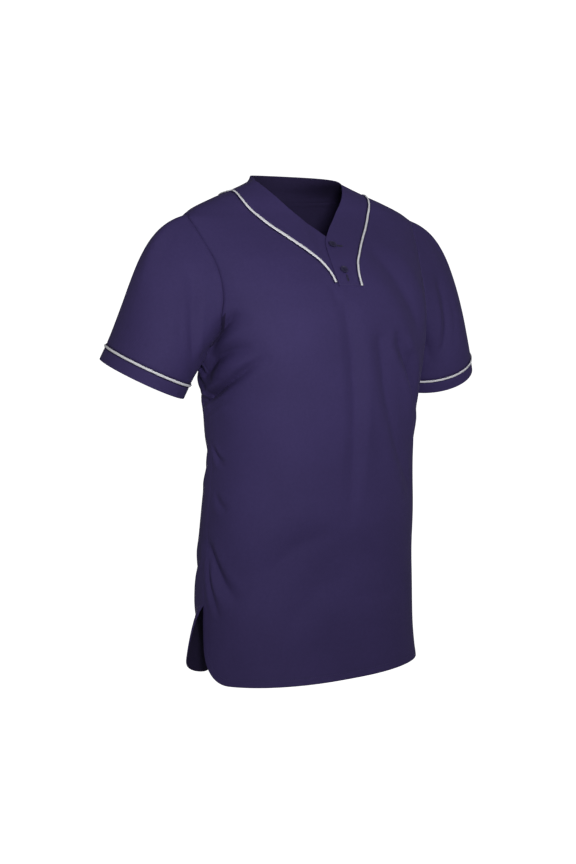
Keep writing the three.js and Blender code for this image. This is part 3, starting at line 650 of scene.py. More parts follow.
def sleeve_grids(side):
    angle, along = np.broadcast_arrays(AROUND[None], spaced(SLEEVE_LENGTH)[:, None])
    return tube_grids(side, sleeve(side, angle, along), angle, along * SLEEVE_LENGTH)


def cuff_grids(side):
    angle, down = np.broadcast_arrays(AROUND[None], CUFF_ROWS[:, None])
    grids = tube_grids(side, cuff_point(side, angle, down), angle, down)
    grids[0]["free"][-1] = True
    return grids


def quad_normals(corner):
    return np.cross(corner[:, 2] - corner[:, 0], corner[:, 3] - corner[:, 1])


WELD = 0.02


def merged(grids, hollow):
    """One sheet from grids that share points, with its quads facing away from the hollow"""
    points = np.concatenate([g["points"].reshape(-1, 3) for g in grids])
    places = np.concatenate([g["map"].reshape(-1, 2) for g in grids])
    free = np.concatenate([g["free"].reshape(-1) for g in grids])
    quads, start = [], 0
    for g in grids:
        rows, columns = g["free"].shape
        index = start + np.arange(rows * columns).reshape(rows, columns)
        cells = np.stack([index[:-1, :-1], index[:-1, 1:], index[1:, 1:], index[1:, :-1]], axis=-1)
        cells = cells.reshape(-1, 4)
        corner = points[cells]
        away = corner.mean(axis=1) - hollow(corner.mean(axis=1))
        outward = (quad_normals(corner) * away).sum() > 0
        quads.append(cells if outward else cells[:, ::-1])
        start += rows * columns
    quads = np.concatenate(quads)
    _, first, index = np.unique(np.round(points / WELD).astype(int), axis=0, return_index=True,
                                return_inverse=True)
    index = index.reshape(-1)
    is_free = np.zeros(len(first), bool)
    np.logical_or.at(is_free, index, free)
    return {"points": points[first], "map": places[first], "free": is_free, "quads": index[quads]}


# How far forward the middle line of the torso stands, and a left sleeve's line from armhole
# to cuff with the height that it falls
TORSO_MIDDLE = -15.0
SLEEVE_START = np.array([190.0, -20.0, -150.0])
SLEEVE_END = np.array([266.0, 0.0, -285.0])
SLEEVE_FALL = 130.0


def inside_torso(points):
    across = np.zeros(len(points))
    return np.stack([across, across + TORSO_MIDDLE, points[:, 2]], axis=-1)


def inside_sleeve(side):
    def middle(points):
        share = np.clip((SLEEVE_START[2] - points[:, 2]) / SLEEVE_FALL, 0, 1)[:, None]
        return mirrored(mix(SLEEVE_START, SLEEVE_END, share), side)
    return middle


def sheet_normals(sheet):
    across = quad_normals(sheet["points"][sheet["quads"]])
    normals = np.zeros_like(sheet["points"])
    for column in range(4):
        np.add.at(normals, sheet["quads"][:, column], across)
    return unit(normals)


def raised(sheet, height):
    sheet["points"] = sheet["points"] + sheet_normals(sheet) * height
    return sheet


# Points farther than this from a line count as far from it
NEAR = 25.0
FAR = 1e9


def distance_to(points, line):
    """Each point's distance to a line of points, measured in space"""
    nearest = np.full(len(points), FAR)
    low, high = line.min(axis=0) - NEAR, line.max(axis=0) + NEAR
    near = np.all((points > low) & (points < high), axis=1)
    chosen = points[near]
    best = np.full(len(chosen), FAR)
    for start, end in zip(line[:-1], line[1:]):
        run = end - start
        share = np.clip(((chosen - start) @ run) / max(run @ run, 1e-9), 0, 1)
        gap = np.linalg.norm(chosen - start - share[:, None] * run, axis=1)
        best = np.minimum(best, gap)
    nearest[near] = best
    return nearest


def seam_relief(distance):
    """A seam is drawn in, with a faint ridge beside it"""
    return -0.7 * bump(distance / 1.4) + 0.15 * bump((distance - 4) / 2.2)


def side_relief(distance):
    return -0.35 * bump(distance / 1.3)


def piping_relief(distance):
    """The cloth is drawn in along both sides of the piping"""
    return -1.3 * bump((distance - 2.6) / 1.3)


HEM_DEPTH = 9.8
# Pitch, depth and reach of the gathers along the hem's stitching and along the seams
HEM_PUCKERS = (10.5, 0.1, 4.5)
SEAM_PUCKERS = (9.0, 0.14, 6.0)


def hem_relief(distance):
    """A turned hem stands a little proud and is drawn in at its stitching"""
    return 0.4 * (1 - ease((distance - HEM_DEPTH) / 2.4)) - 0.5 * bump((distance - HEM_DEPTH) / 1.1)


def puckers(distance, places, pitch, deep, reach):
    """Short gathers across a seam, of uneven depth along it"""
    along = places[:, 0] * 0.7 + places[:, 1]
    uneven = 0.55 + 0.45 * np.sin(along / 23 + 1.7)
    wave = np.sin(2 * np.pi * along / pitch + 1.2 * np.sin(along / 14))
    return deep * uneven * wave * bump((distance - 0.35 * reach) / reach)


def relieved(sheet, lines):
    """The sheet with the relief of its seams and hems"""
    height = np.zeros(len(sheet["points"]))
    for line, relief in lines:
        distance = distance_to(sheet["points"], line)
        height += relief(distance)
        if relief is hem_relief:
            height += puckers(distance - HEM_DEPTH, sheet["map"], *HEM_PUCKERS)
        elif relief is seam_relief:
            height += puckers(distance, sheet["map"], *SEAM_PUCKERS)
    return raised(sheet, height[:, None])


def armhole_line(side):
    points = armhole(side, np.linspace(0, 2 * np.pi, 121)[:-1])
    return mirrored(np.concatenate([points, points[:1]]), side)


def side_line(side):
    return torso(1.0 * side, np.linspace(VENT_TOP, ARMPIT, 90))


def shoulder_line(side):
    return torso(1.0 * side, np.linspace(SHOULDER, NECK_SEAM, 16))


def neck_places(side, section):
    seam_turn = front_turn(seam_reach(side, section), SEAM_Z(section))
    return seam_turn * side, SEAM_Z(section)


def neck_line(side):
    return torso(*neck_places(side, np.linspace(0, len(BAND) - 1, 110)))


def back_neck_places():
    turn = np.linspace(1, 3, 150)
    return turn, NECK_SEAM - NECK_SEAM_DROP * backward(turn)


def cuff_line(side):
    return mirrored(cuff_point(side, np.linspace(0, 2 * np.pi, 141), 0.0), side)


def hem_map(side_turn, both):
    """The hem's places on the map, from one vent's top round to the other's. Two places that
    mirror each other have turns that make up both"""
    heights = np.concatenate([np.linspace(VENT_TOP, HEM + CORNER_UP, 20)[:-1], CORNER_ROWS[::-1]])
    turns = side_turn(heights)
    across = np.linspace(turns[-1], both - turns[-1], 90)[1:-1]
    return (np.concatenate([turns, across, both - turns[::-1]]),
            np.concatenate([heights, np.full(len(across), HEM), heights[::-1]]))


FRONT_HEM = hem_map(front_side_turn, 0)
BACK_HEM = hem_map(back_side_turn, 4)


# Sheets
def body_lines():
    lines = [(armhole_line(side), seam_relief) for side in (-1, 1)]
    lines += [(side_line(side), side_relief) for side in (-1, 1)]
    return lines + [(shoulder_line(side), seam_relief) for side in (-1, 1)]


def build_front():
    lines = body_lines() + [(neck_line(side), piping_relief) for side in (-1, 1)]
    lines.append((torso(*FRONT_HEM), hem_relief))
    return relieved(merged(front_grids(), inside_torso), lines)


def build_back():
    lines = body_lines() + [(torso(*back_neck_places()), piping_relief)]
    lines.append((back(*BACK_HEM), hem_relief))
    return relieved(merged(back_grids(), inside_torso), lines)


def build_sleeve(side):
    return relieved(merged(sleeve_grids(side), inside_sleeve(side)),
                    [(armhole_line(side), seam_relief), (cuff_line(side), piping_relief)])


def build_cuff(side):
    return relieved(merged(cuff_grids(side), inside_sleeve(side)),
                    [(cuff_line(side), piping_relief)])


def build_band_back():
    sheet = raised(merged(band_back_grids(), inside_torso), BAND_PROUD)
    return relieved(sheet, [(torso(*back_neck_places()), piping_relief)])


def build_band_front(side):
    sheet = merged(band_front_grids(side), inside_torso)
    height = np.full(len(sheet["points"]), BAND_PROUD)
    if side < 0:
        share = ease((sheet["points"][:, 0] - UNDERLAP_START) / (UNDERLAP_FULL - UNDERLAP_START))
        height -= UNDERLAP_DEEP * share
    return relieved(raised(sheet, height[:, None]), [(neck_line(side), piping_relief)])


def fix_normals(piece):
    mesh = bmesh.new()
    mesh.from_mesh(piece.data)
    bmesh.ops.recalc_face_normals(mesh, faces=mesh.faces)
    mesh.to_mesh(piece.data)
    mesh.free()


def new_object(name, points, faces, material, slot_name, places=None, sharp=50):
    mesh = bpy.data.meshes.new(name)
    mesh.from_pydata((np.asarray(points) * MM).tolist(), [], [list(map(int, f)) for f in faces])
    mesh.validate()
    mesh.polygons.foreach_set("use_smooth", [True] * len(mesh.polygons))
    mesh.set_sharp_from_angle(angle=math.radians(sharp))
    if places is not None:
        layer = mesh.uv_layers.new(name="UVMap")
        vertex = np.zeros(len(mesh.loops), int)
        mesh.loops.foreach_get("vertex_index", vertex)
        layer.data.foreach_set("uv", (places[vertex] * MM).reshape(-1))
    mesh.materials.append(material)
    piece = bpy.data.objects.new(name, mesh)
    bpy.context.scene.collection.objects.link(piece)
    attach(piece, "root")
    return piece


def new_solid(*parts, **settings):
    piece = new_object(*parts, **settings)
    fix_normals(piece)
    return piece


# Angles of the points that round a free edge off, from the outer face to the inner one
RIM_ANGLES = (math.pi / 4, math.pi / 2, 3 * math.pi / 4)


def shell(name, sheet, material, slot_name, wall=WALL):
    """The sheet as a closed wall, with round rims along its free edges"""
    points, quads = sheet["points"], sheet["quads"]
    normals = sheet_normals(sheet)
    size = len(points)
    edges = np.concatenate([quads[:, [c, (c + 1) % 4]] for c in range(4)])
    codes, back_codes = edges[:, 0] * size + edges[:, 1], edges[:, 1] * size + edges[:, 0]
    rim = edges[~np.isin(codes, back_codes)]
    after = np.full(size, -1)
    before = np.full(size, -1)
    after[rim[:, 0]] = rim[:, 1]
    before[rim[:, 1]] = rim[:, 0]
    on_rim = np.unique(rim)
    tangent = points[after[on_rim]] - points[before[on_rim]]
    out = unit(np.cross(tangent, normals[on_rim]))
    all_points = [points, points - normals * wall]
    faces = [quads, quads[:, ::-1] + size]
    rows = [np.arange(size)]
    start = 2 * size
    place = np.full(size, -1)
    place[on_rim] = np.arange(len(on_rim))
    middle = points[on_rim] - normals[on_rim] * wall / 2
    for angle in RIM_ANGLES:
        bulge = np.where(sheet["free"][on_rim], math.sin(angle), 0)[:, None]
        all_points.append(middle + wall / 2 * (normals[on_rim] * math.cos(angle) + out * bulge))
        rows.append(np.where(place >= 0, start + place, -1))
        start += len(on_rim)
    rows.append(np.arange(size) + size)
    for upper, lower in zip(rows[:-1], rows[1:]):
        a, b = rim[:, 0], rim[:, 1]
        faces.append(np.stack([upper[b], upper[a], lower[a], lower[b]], axis=-1))
    places = np.concatenate([sheet["map"], sheet["map"]] + [sheet["map"][on_rim]] * len(RIM_ANGLES))
    piece = new_object(name, np.concatenate(all_points), np.concatenate(faces), material, slot_name,
                       places)
    # The inner faces take the darker inside knit, which is painted shade
    piece.data.materials.append(SHADED_INSIDE)
    inner = np.zeros(len(piece.data.polygons), int)
    inner[len(quads):2 * len(quads)] = 1
    piece.data.polygons.foreach_set("material_index", inner)
    return piece


# Materials
def nodes_of(name):
    material = bpy.data.materials.new(name)
    material.use_nodes = True
    tree = material.node_tree
    return material, tree, tree.nodes["Principled BSDF"]


def add(tree, kind, **settings):
    node = tree.nodes.new(kind)
    for key, value in settings.items():
        if key in node.inputs:
            node.inputs[key].default_value = value
        else:
            setattr(node, key, value)
    return node


def set_inputs(node, values):
    for name, value in values.items():
        node.inputs[name].default_value = value


def maths(tree, operation, first, second=None):
    node = add(tree, "ShaderNodeMath", operation=operation)
    for socket, value in zip(node.inputs, (first, second)):
        if value is None:
            continue
        if isinstance(value, (int, float)):
            socket.default_value = value
        else:
            tree.links.new(value, socket)
    return node.outputs[0]


def weighed(tree, *pairs):
    """The sum of values, each times its weight"""
    parts = [maths(tree, "MULTIPLY", value, weight) for value, weight in pairs]
    total = parts[0]
    for part in parts[1:]:
        total = maths(tree, "ADD", total, part)
    return total


def textured(tree, kind, space, **settings):
    texture = add(tree, kind, **settings)
    tree.links.new(space, texture.inputs["Vector"])
    return texture.outputs["Fac"]


def noise(tree, space, scale, detail, **settings):
    return textured(tree, "ShaderNodeTexNoise", space, Scale=scale, Detail=detail, **settings)


def coloured(tree, shader, tone, dark, base, low=0.0, high=1.0):
    ramp = add(tree, "ShaderNodeValToRGB")
    rows = zip(ramp.color_ramp.elements, (dark, base), (low, high))
    for element, colour, position in rows:
        element.position = position
        element.color = (*colour, 1)
    tree.links.new(tone, ramp.inputs[0])
    tree.links.new(ramp.outputs[0], shader.inputs["Base Color"])


def bumped(tree, shader, relief, strength, distance):
    node = add(tree, "ShaderNodeBump", Strength=strength, Distance=distance)
    tree.links.new(relief, node.inputs["Height"])
    tree.links.new(node.outputs[0], shader.inputs["Normal"])


# Width and height of one loop of the knit, in metres
WALE = 0.0013
COURSE = 0.0011


def knit(name, base, dark, roughness=0.75, sheen=0.03):
    """Fine jersey knit: columns of small loops on the flat map, with a soft uneven dye"""
    material, tree, shader = nodes_of(name)
    split = add(tree, "ShaderNodeSeparateXYZ")
    tree.links.new(add(tree, "ShaderNodeTexCoord").outputs["UV"], split.inputs[0])
    wales = maths(tree, "MULTIPLY", split.outputs[0], 2 * math.pi / WALE)
    courses = maths(tree, "MULTIPLY", split.outputs[1], 2 * math.pi / COURSE)
    half_wave = maths(tree, "SINE", maths(tree, "MULTIPLY", wales, 0.5))
    lean = maths(tree, "MULTIPLY", maths(tree, "ABSOLUTE", half_wave), 1.6)
    loops = maths(tree, "SINE", maths(tree, "ADD", courses, lean))
    weave = weighed(tree, (loops, 0.5), (maths(tree, "COSINE", wales), 0.5))
    space = add(tree, "ShaderNodeTexCoord").outputs["Object"]
    fuzz = noise(tree, space, 900.0, 3.0, Roughness=0.6)
    dye = noise(tree, space, 9.0, 4.0, Roughness=0.55)
    mottle = noise(tree, space, 240.0, 2.0, Roughness=0.5)
    tone = weighed(tree, (mottle, 0.35), (weave, 0.16), (dye, 0.55))
    coloured(tree, shader, tone, dark, base, 0.25, 0.7)
    bumped(tree, shader, weighed(tree, (weave, 1.0), (fuzz, 0.8)), 0.35, 0.0002)
    set_inputs(shader, {"Roughness": roughness, "Specular IOR Level": 0.2,
                        "Sheen Weight": sheen, "Sheen Roughness": 0.4,
                        "Sheen Tint": (0.55, 0.5, 0.8, 1)})
    return material


def plain_woven(name, base, dark, roughness, scale):
    """Tightly woven cord or thread"""
    material, tree, shader = nodes_of(name)
    space = add(tree, "ShaderNodeTexCoord").outputs["Object"]
    ribs = textured(tree, "ShaderNodeTexWave", space, Scale=scale, Distortion=1.5, Detail=2.0,
                    bands_direction="DIAGONAL")
    both = weighed(tree, (ribs, 0.5), (noise(tree, space, 500.0, 3.0), 0.5))
    coloured(tree, shader, both, dark, base, 0.2, 0.7)
    bumped(tree, shader, both, 0.3, 0.0002)
    set_inputs(shader, {"Roughness": roughness})
    return material


def moulded(name, base, dark):
    """Dyed plastic with a faint marbling and worn gloss"""
    material, tree, shader = nodes_of(name)
    space = add(tree, "ShaderNodeTexCoord").outputs["Object"]
    marble = noise(tree, space, 220.0, 4.0, Distortion=1.2)
    coloured(tree, shader, marble, dark, base)
    rough = maths(tree, "ADD", maths(tree, "MULTIPLY", marble, 0.2), 0.25)
    tree.links.new(rough, shader.inputs["Roughness"])
    bumped(tree, shader, marble, 0.1, 0.0001)
    return material


DYE = (0.052, 0.0368, 0.137)
DYE_DARK = (0.040, 0.0285, 0.106)
CLOTH = knit("knit_cloth", DYE, DYE_DARK)
BANDING = knit("knit_band", DYE, DYE_DARK, roughness=0.78)
# The cloth's inner face at half the dye's brightness: painted shade for the garment's shaded inside
SHADED_INSIDE = knit("knit_inside_shaded", (0.026, 0.0185, 0.064), (0.019, 0.0135, 0.047), roughness=0.9,
              sheen=0.0)
WHITE = plain_woven("white_piping", (0.86, 0.86, 0.9), (0.7, 0.7, 0.75), 0.55, 420.0)
THREAD = plain_woven("dyed_thread", (0.05, 0.04, 0.13), (0.03, 0.024, 0.08), 0.5, 900.0)
# Real thread, made far darker than the cloth as painted shade of the button holes and buttonhole
# slits
SHADE_DARK_THREAD = plain_woven("buttonhole_thread", (0.016, 0.013, 0.042), (0.008, 0.006, 0.022),
                          0.6, 900.0)
DYED = moulded("dyed_button", (0.034, 0.027, 0.086), (0.014, 0.011, 0.038))


def panel(name, sheet, material=CLOTH):
    piece = shell(f"cloth_{name}", sheet, material, "cloth")
    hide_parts(name)
    return piece


panel("front", build_front())
panel("back", build_back())
panel("neck_band_back", build_band_back(), BANDING)
for hand, side in HANDS:
    panel(f"sleeve_{hand}", build_sleeve(side))
    panel(f"cuff_{hand}", build_cuff(side), BANDING)
    panel(f"neck_band_{hand}", build_band_front(side), BANDING)


# Piping

# The cord is a little narrower than its solid. Cord and the dark strip under it, painted shadow
# along both
# sides of the cord: middle and half height of the section over the seam, and how much wider the
# strip is. The seam allowance lies inside
CORD_SHARE = 0.8
CORD_LIFT = (0.75, 1.45)
SHADOW_STRIP_LIFT = (0.35, 0.75)
SHADOW_STRIP_WIDER = 2.4
ALLOWANCE_LIFT = (-1.6, 0.8)
ALLOWANCE_WIDTH = 10.0
CORD_SIDES = 12
PIPING_SLEEVE = 4.6
PIPING_BACK = 4.0
# Where the neck piping starts, in rows of the band
PIPING_START = {-1: 0.35, 1: 0.05}


def cord(name, line, normals, widths, ring, node):
    """A soft round piping over a seam, flattened where it lies on the cloth, on a wider dark strip
    that is painted shadow along both its sides
    """
    widths = widths * CORD_SHARE
    piece = flat_cord(name, line, normals, widths, ring, CORD_LIFT, WHITE, "piping")
    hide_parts(node)
    # The dark strip in the darker inside knit shows beside the cord as painted shadow
    flat_cord(name.replace("piping", "welt"), line, normals, widths + SHADOW_STRIP_WIDER, ring, SHADOW_STRIP_LIFT,
              SHADED_INSIDE, "cloth")


def flat_cord(name, line, normals, widths, ring, lifts, material, slot):
    """A cord with an oval section along a line on a surface, closed to a ring or with two ends"""
    sides = CORD_SIDES
    count = len(line)
    closed = np.roll(line, -1, axis=0) - np.roll(line, 1, axis=0)
    run = closed if ring else np.gradient(line, axis=0)
    across = unit(np.cross(unit(run), normals))
    angles = np.arange(sides) * 2 * np.pi / sides
    points = (line[:, None]
              + normals[:, None] * (lifts[0] + lifts[1] * np.cos(angles))[None, :, None]
              + across[:, None] * (widths[:, None] / 2 * np.sin(angles)[None])[..., None])
    index = np.arange(count * sides).reshape(count, sides)
    if ring:
        index = np.concatenate([index, index[:1]])
    beside = np.roll(index, -1, axis=1)
    faces = np.stack([index[:-1], index[1:], beside[1:], beside[:-1]], axis=-1)
    faces = faces.reshape(-1, 4).tolist()
    if not ring:
        faces += [index[0].tolist(), index[-1][::-1].tolist()]
    return new_solid(name, points.reshape(-1, 3), faces, material, slot)


for hand, side in HANDS:
    section = np.linspace(PIPING_START[side], len(BAND) - 1, 110)
    seam = neck_places(side, section)
    width = (PIPE_RIGHT if side < 0 else PIPE_LEFT)(section)
    cord(f"piping_neck_{hand}", torso(*seam), surface_normals(torso, *seam), width, False,
         f"neck_piping_{hand}")
    angle = np.linspace(0, 2 * np.pi, 141)[:-1]
    outward = unit(np.cos(angle)[:, None] * CUFF_FORWARD * CUFF_OUT
                   + np.sin(angle)[:, None] * CUFF_ACROSS * CUFF_FRONT)
    cord(f"piping_sleeve_{hand}", mirrored(cuff_point(side, angle, 0.0), side),
         mirrored(outward, side), np.full(len(angle), PIPING_SLEEVE), True,
         f"sleeve_piping_{hand}")

# The overlocked seam allowances inside the armholes, in the darker inside knit that is painted
# shade
for hand, side in HANDS:
    around = np.linspace(0, 2 * np.pi, 241)[:-1]
    seam = arm_turn(around) * side, arm_height(around)
    flat_cord(f"armhole_allowance_{hand}", torso(*seam), surface_normals(plain_torso, *seam),
              np.full(len(around), ALLOWANCE_WIDTH), True, ALLOWANCE_LIFT, SHADED_INSIDE, "cloth")

seam = back_neck_places()
cord("piping_neck_back", torso(*seam), surface_normals(torso, *seam),
     np.full(len(seam[0]), PIPING_BACK), False, "neck_piping_back")


# Stitching
STITCH_PITCH = 3.2
STITCH_LENGTH = 2.3
STITCH_RADIUS = 0.24
STITCH_SIDES = 5
# share of the stitch's length, share of its radius, height over the cloth
STITCH_RINGS = ((0, 0.45, -0.12), (0.3, 1, 0.1), (0.7, 1, 0.1), (1, 0.45, -0.12))


def ring_faces(start, sides):
    """Quads from the ring of points that begins at start to the ring after it"""
    faces = []
    for corner in range(sides):
        a, b = start + corner, start + (corner + 1) % sides
        faces.append((a, a + sides, b + sides, b))
    return faces


def rod_faces(first, rings, sides):
    """The faces of a rod with closed ends, over rings of points from first on"""
    last = first + (rings - 1) * sides
    faces = [face for start in range(first, last, sides) for face in ring_faces(start, sides)]
    return faces + [list(range(first, first + sides)), list(range(last, last + sides))[::-1]]


def stitches(name, line, normals):
    """A row of single stitches along a line, each a small spindle that dips at its ends"""
    run = np.linalg.norm(np.diff(line, axis=0), axis=1)
    travelled = np.concatenate([[0], np.cumsum(run)])
    count = int((travelled[-1] - STITCH_LENGTH) / STITCH_PITCH)
    points, faces = [], []
    for stitch in range(count):
        start = STITCH_PITCH / 2 + stitch * STITCH_PITCH
        rings = []
        for share, fat, rise in STITCH_RINGS:
            at = start + share * STITCH_LENGTH
            place = np.array([np.interp(at, travelled, line[:, c]) for c in range(3)])
            normal = unit(np.array([np.interp(at, travelled, normals[:, c]) for c in range(3)]))
            rings.append((place + normal * rise, normal, STITCH_RADIUS * fat))
        way = unit(rings[-1][0] - rings[0][0])
        first = len(points)
        for centre, normal, thick in rings:
            across = np.cross(way, normal)
            for corner in range(STITCH_SIDES):
                turned = 2 * math.pi * corner / STITCH_SIDES
                points.append(centre + thick * (normal * math.cos(turned)
                                                + across * math.sin(turned)))
        faces += rod_faces(first, len(STITCH_RINGS), STITCH_SIDES)
    return new_solid(name, np.array(points), faces, THREAD, "cloth")


def inset_path(path, distance, inward):
    """A path on the map moved sideways by a distance in millimetres"""
    x, y = path[0] * QUARTER, path[1]
    run_x, run_y = np.gradient(x), np.gradient(y)
    size = np.maximum(np.hypot(run_x, run_y), 1e-9)
    return (x - inward * run_y / size * distance) / QUARTER, y + inward * run_x / size * distance


hem_front = inset_path(FRONT_HEM, HEM_DEPTH, -1)
hem_back = inset_path(BACK_HEM, HEM_DEPTH, 1)
seams = {
    "front": [stitches("stitch_hem_front", torso(*hem_front), surface_normals(torso, *hem_front))],
    "back": [stitches("stitch_hem_back", back(*hem_back), surface_normals(back, *hem_back))],
}

# The placket's foot is caught down by a short row of stitches, a little over the band.
FOOT_ROW = PLACKET_FOOT + 3
FOOT_RISE = 0.35
foot = front_turn(np.linspace(-19, 21, 30), FOOT_ROW), FOOT_ROW
foot_normals = surface_normals(torso, *foot)
stitches("stitch_placket_foot", torso(*foot) + foot_normals * FOOT_RISE, foot_normals)


# Buttons

# name, x, z
BUTTONS = (("button_upper", 1.0, -97.0), ("button_lower", 0.0, -134.0))
# radius and height of a button's section, from its middle over the rim to the back
BUTTON_SECTION = ((0.0, 1.5), (2.9, 1.5), (3.9, 1.75), (4.5, 2.25), (5.3, 2.45), (5.95, 2.2),
                  (6.25, 1.6), (6.15, 0.9), (5.6, 0.35), (4.2, 0.05), (0.0, 0.0))
BUTTON_RISE = 0.9
BUTTON_SHARP = 38
HOLE_PITCH = 3.6
HOLE = 1.7
HOLE_SIDES = 16
# The thread through the holes: distance from its twin, radius, height, arch and dive at its ends
STRAND_APART = 0.28
STRAND_RADIUS = 0.3
STRAND_HEIGHT = 1.62
STRAND_ARCH = 0.55
STRAND_DIVE = 1.5


def lathe(section, sides=40):
    """A section turned about the axis on which it starts and ends"""
    points, faces = [], []
    for radius, height in section:
        if radius == 0:
            points.append((0, 0, height))
            continue
        for corner in range(sides):
            turned = 2 * math.pi * corner / sides
            points.append((radius * math.cos(turned), radius * math.sin(turned), height))
    start = 1
    for corner in range(sides):
        faces.append((0, start + corner, start + (corner + 1) % sides))
    for _ in section[3:]:
        faces += ring_faces(start, sides)
        start += sides
    last = len(points) - 1
    for corner in range(sides):
        faces.append((last, start + (corner + 1) % sides, start + corner))
    return np.array(points, float), faces


def tube(path, radius, sides=8):
    """A round rod with closed ends along a path"""
    path = np.asarray(path, float)
    run = np.gradient(path, axis=0)
    points = []
    for place, way in zip(path, run):
        way = Vector(way).normalized()
        side_way = way.orthogonal().normalized()
        other = way.cross(side_way)
        for corner in range(sides):
            turned = 2 * math.pi * corner / sides
            points.append(np.array(Vector(place) + radius * (side_way * math.cos(turned)
                                                             + other * math.sin(turned))))
    return np.array(points), rod_faces(0, len(path), sides)


def joined(parts):
    points, faces, start = [], [], 0
    for part_points, part_faces in parts:
        points.append(part_points)
        faces += [tuple(start + corner for corner in face) for face in part_faces]
        start += len(part_points)
    return np.concatenate(points), faces


def on_surface(x, z):
    """A place on the front, with the directions out of, across and up the cloth there"""
    turn = front_turn(x, z)
    normal = surface_normals(torso, turn, z)
    right = unit(np.cross(np.array([0, 0, 1.0]), normal))
    return torso(turn, z), normal, right, np.cross(normal, right)


def placed(points, place, right, up, normal, rise):
    """Points set down on the front, a little above it"""
    points = np.asarray(points)
    return (place + normal * rise + points[:, :1] * right + points[:, 1:2] * up
            + points[:, 2:] * normal)


def drill(piece, place, right, up, normal):
    """Four holes through a button"""
    for x, y in ((1, 1), (-1, 1), (-1, -1), (1, -1)):
        bit, bit_faces = tube([(x * HOLE_PITCH / 2, y * HOLE_PITCH / 2, z) for z in (-1, 1, 4)],
                              HOLE / 2, HOLE_SIDES)
        bit = placed(bit, place, right, up, normal, BUTTON_RISE)
        mesh = bpy.data.meshes.new("bit")
        mesh.from_pydata((bit * MM).tolist(), [], bit_faces)
        cutter = bpy.data.objects.new("bit", mesh)
        bpy.context.scene.collection.objects.link(cutter)
        fix_normals(cutter)
        cut = piece.modifiers.new("cut", "BOOLEAN")
        cut.operation = "DIFFERENCE"
        cut.solver = "EXACT"
        cut.object = cutter
        evaluated = piece.evaluated_get(bpy.context.evaluated_depsgraph_get())
        drilled = bpy.data.meshes.new_from_object(evaluated)
        piece.modifiers.clear()
        piece.data = drilled
        bpy.data.objects.remove(cutter)
    piece.data.set_sharp_from_angle(angle=math.radians(BUTTON_SHARP))


def button_thread():
    """Two pairs of strands over the button, from hole to hole"""
    half = HOLE_PITCH / 2
    strands = []
    for y in (-half, half):
        for offset in (-STRAND_APART, STRAND_APART):
            path = []
            for share in np.linspace(0, 1, 9):
                arch = STRAND_ARCH * math.sin(math.pi * share) ** 0.6
                dive = STRAND_DIVE * abs(2 * share - 1) ** 8
                path.append((mix(-half, half, share), y + offset, STRAND_HEIGHT + arch - dive))
            strands.append(tube(path, STRAND_RADIUS))
    return joined(strands)


for node, x, z in BUTTONS:
    place, normal, right, up = on_surface(x, z)
    disc, disc_faces = lathe(BUTTON_SECTION)
    disc = placed(disc, place, right, up, normal, BUTTON_RISE)
    button = new_solid(f"dished_{node}", disc, disc_faces, DYED, "buttons", sharp=BUTTON_SHARP)
    drill(button, place, right, up, normal)
    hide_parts(node)
    thread, thread_faces = button_thread()
    thread = placed(thread, place, right, up, normal, BUTTON_RISE)
    # The thread's dark colour is painted shade of the holes
    new_solid(f"thread_{node}", thread, thread_faces, SHADE_DARK_THREAD, "cloth")

# Buttonholes: bound slits on the overlap, across beside the upper button and up and down below
# the lower one: name, x, z, length, degrees
BUTTONHOLES = (("buttonhole_upper", 13.0, -98.5, 11.0, -4.0),
               ("buttonhole_lower", 1.0, -145.5, 11.0, 86.0))
SLIT_HALF = 1.2
SLIT_THREAD = 0.75
SLIT_FLAT = 0.7
SLIT_RISE = 0.55
SLIT_STEPS = 44


def bound_slit(name, x, z, length, degrees):
    """The thread bound round a buttonhole"""
    place, normal, right, up = on_surface(x, z)
    turned = math.radians(degrees)
    way = right * math.cos(turned) + up * math.sin(turned)
    over = np.cross(normal, way)
    rim = []
    for step in range(SLIT_STEPS + 1):
        angle = 2 * math.pi * step / SLIT_STEPS
        rim.append((length / 2 * math.cos(angle), SLIT_HALF * math.sin(angle), 0.0))
    points, faces = tube(rim, SLIT_THREAD)
    points = placed(points * np.array([1, 1, SLIT_FLAT]), place, way, over, normal, SLIT_RISE)
    # The binding's dark colour is painted shade of the slit
    new_solid(name, points, faces, SHADE_DARK_THREAD, "cloth")


for row in BUTTONHOLES:
    bound_slit(*row)


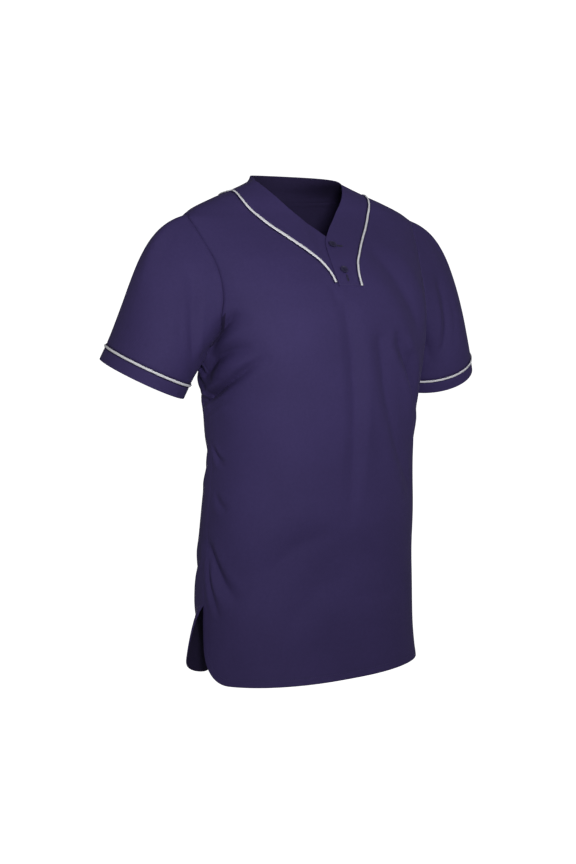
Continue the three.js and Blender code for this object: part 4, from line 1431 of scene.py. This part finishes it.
# Studio
def studio_floor():
    """A pale floor that curves up all round into the backdrop and closes overhead"""
    floor_z, reach, corner, top, steps = -1.35, 7.0, 1.5, 6.0, 12
    profile = [(0.0, floor_z), (reach - corner, floor_z)]
    for step in range(1, steps + 1):
        angle = math.pi / 2 * step / steps
        profile.append((reach - corner + corner * math.sin(angle),
                        floor_z + corner * (1 - math.cos(angle))))
    profile += [(reach, top - corner), (reach - corner, top), (0.0, top)]
    points, faces = lathe(profile, 64)
    mesh = bpy.data.meshes.new("floor")
    mesh.from_pydata(points.tolist(), [], faces)
    mesh.polygons.foreach_set("use_smooth", [True] * len(mesh.polygons))
    material, _, shader = nodes_of("pale_floor")
    set_inputs(shader, {"Base Color": (0.9, 0.9, 0.9, 1), "Roughness": 0.9,
                        "Specular IOR Level": 0.1, "Emission Color": (1, 1, 1, 1),
                        "Emission Strength": 0.95})
    mesh.materials.append(material)
    floor = bpy.data.objects.new("floor", mesh)
    floor.visible_diffuse = False
    floor.visible_glossy = False
    bpy.context.scene.collection.objects.link(floor)


def area_light(name, place, target, size, power, spread):
    """A round soft light that faces its target, with its spread in degrees"""
    data = bpy.data.lights.new(name, "AREA")
    data.shape = "DISK"
    data.size = size
    data.energy = power
    data.spread = math.radians(spread)
    light = bpy.data.objects.new(name, data)
    light.location = place
    way = Vector(target) - Vector(place)
    light.rotation_euler = way.to_track_quat("-Z", "Y").to_euler()
    bpy.context.scene.collection.objects.link(light)


studio_floor()
area_light("key", (-0.88, -1.87, 0.12), (0, 0, -0.21), 0.6, 2.2, 52)
area_light("fill", (1.3, -2.0, 0.3), (0, 0, -0.25), 1.2, 1.9, 110)
area_light("back_light", (1.2, 2.3, -0.25), (0, 0, -0.35), 1.2, 13, 90)
area_light("side_light", (-2.6, 0.3, -0.2), (0, 0, -0.4), 1.2, 1.5, 90)

world = bpy.data.worlds.new("studio")
world.use_nodes = True
set_inputs(world.node_tree.nodes["Background"], {"Color": (1, 1, 1, 1), "Strength": 0.17})
bpy.context.scene.world = world
bpy.context.scene.view_settings.view_transform = "Standard"

camera_data = bpy.data.cameras.new("camera")
camera_data.sensor_fit = "VERTICAL"
camera_data.sensor_height = 36.0
camera_data.lens = 61.96
camera_data.clip_end = 100.0
camera = bpy.data.objects.new("camera", camera_data)
camera.location = (-1.2905, -1.9040, -0.1452)
camera.rotation_euler = (math.radians(84.07), 0, math.radians(-33.75))
bpy.context.scene.collection.objects.link(camera)
bpy.context.scene.camera = camera
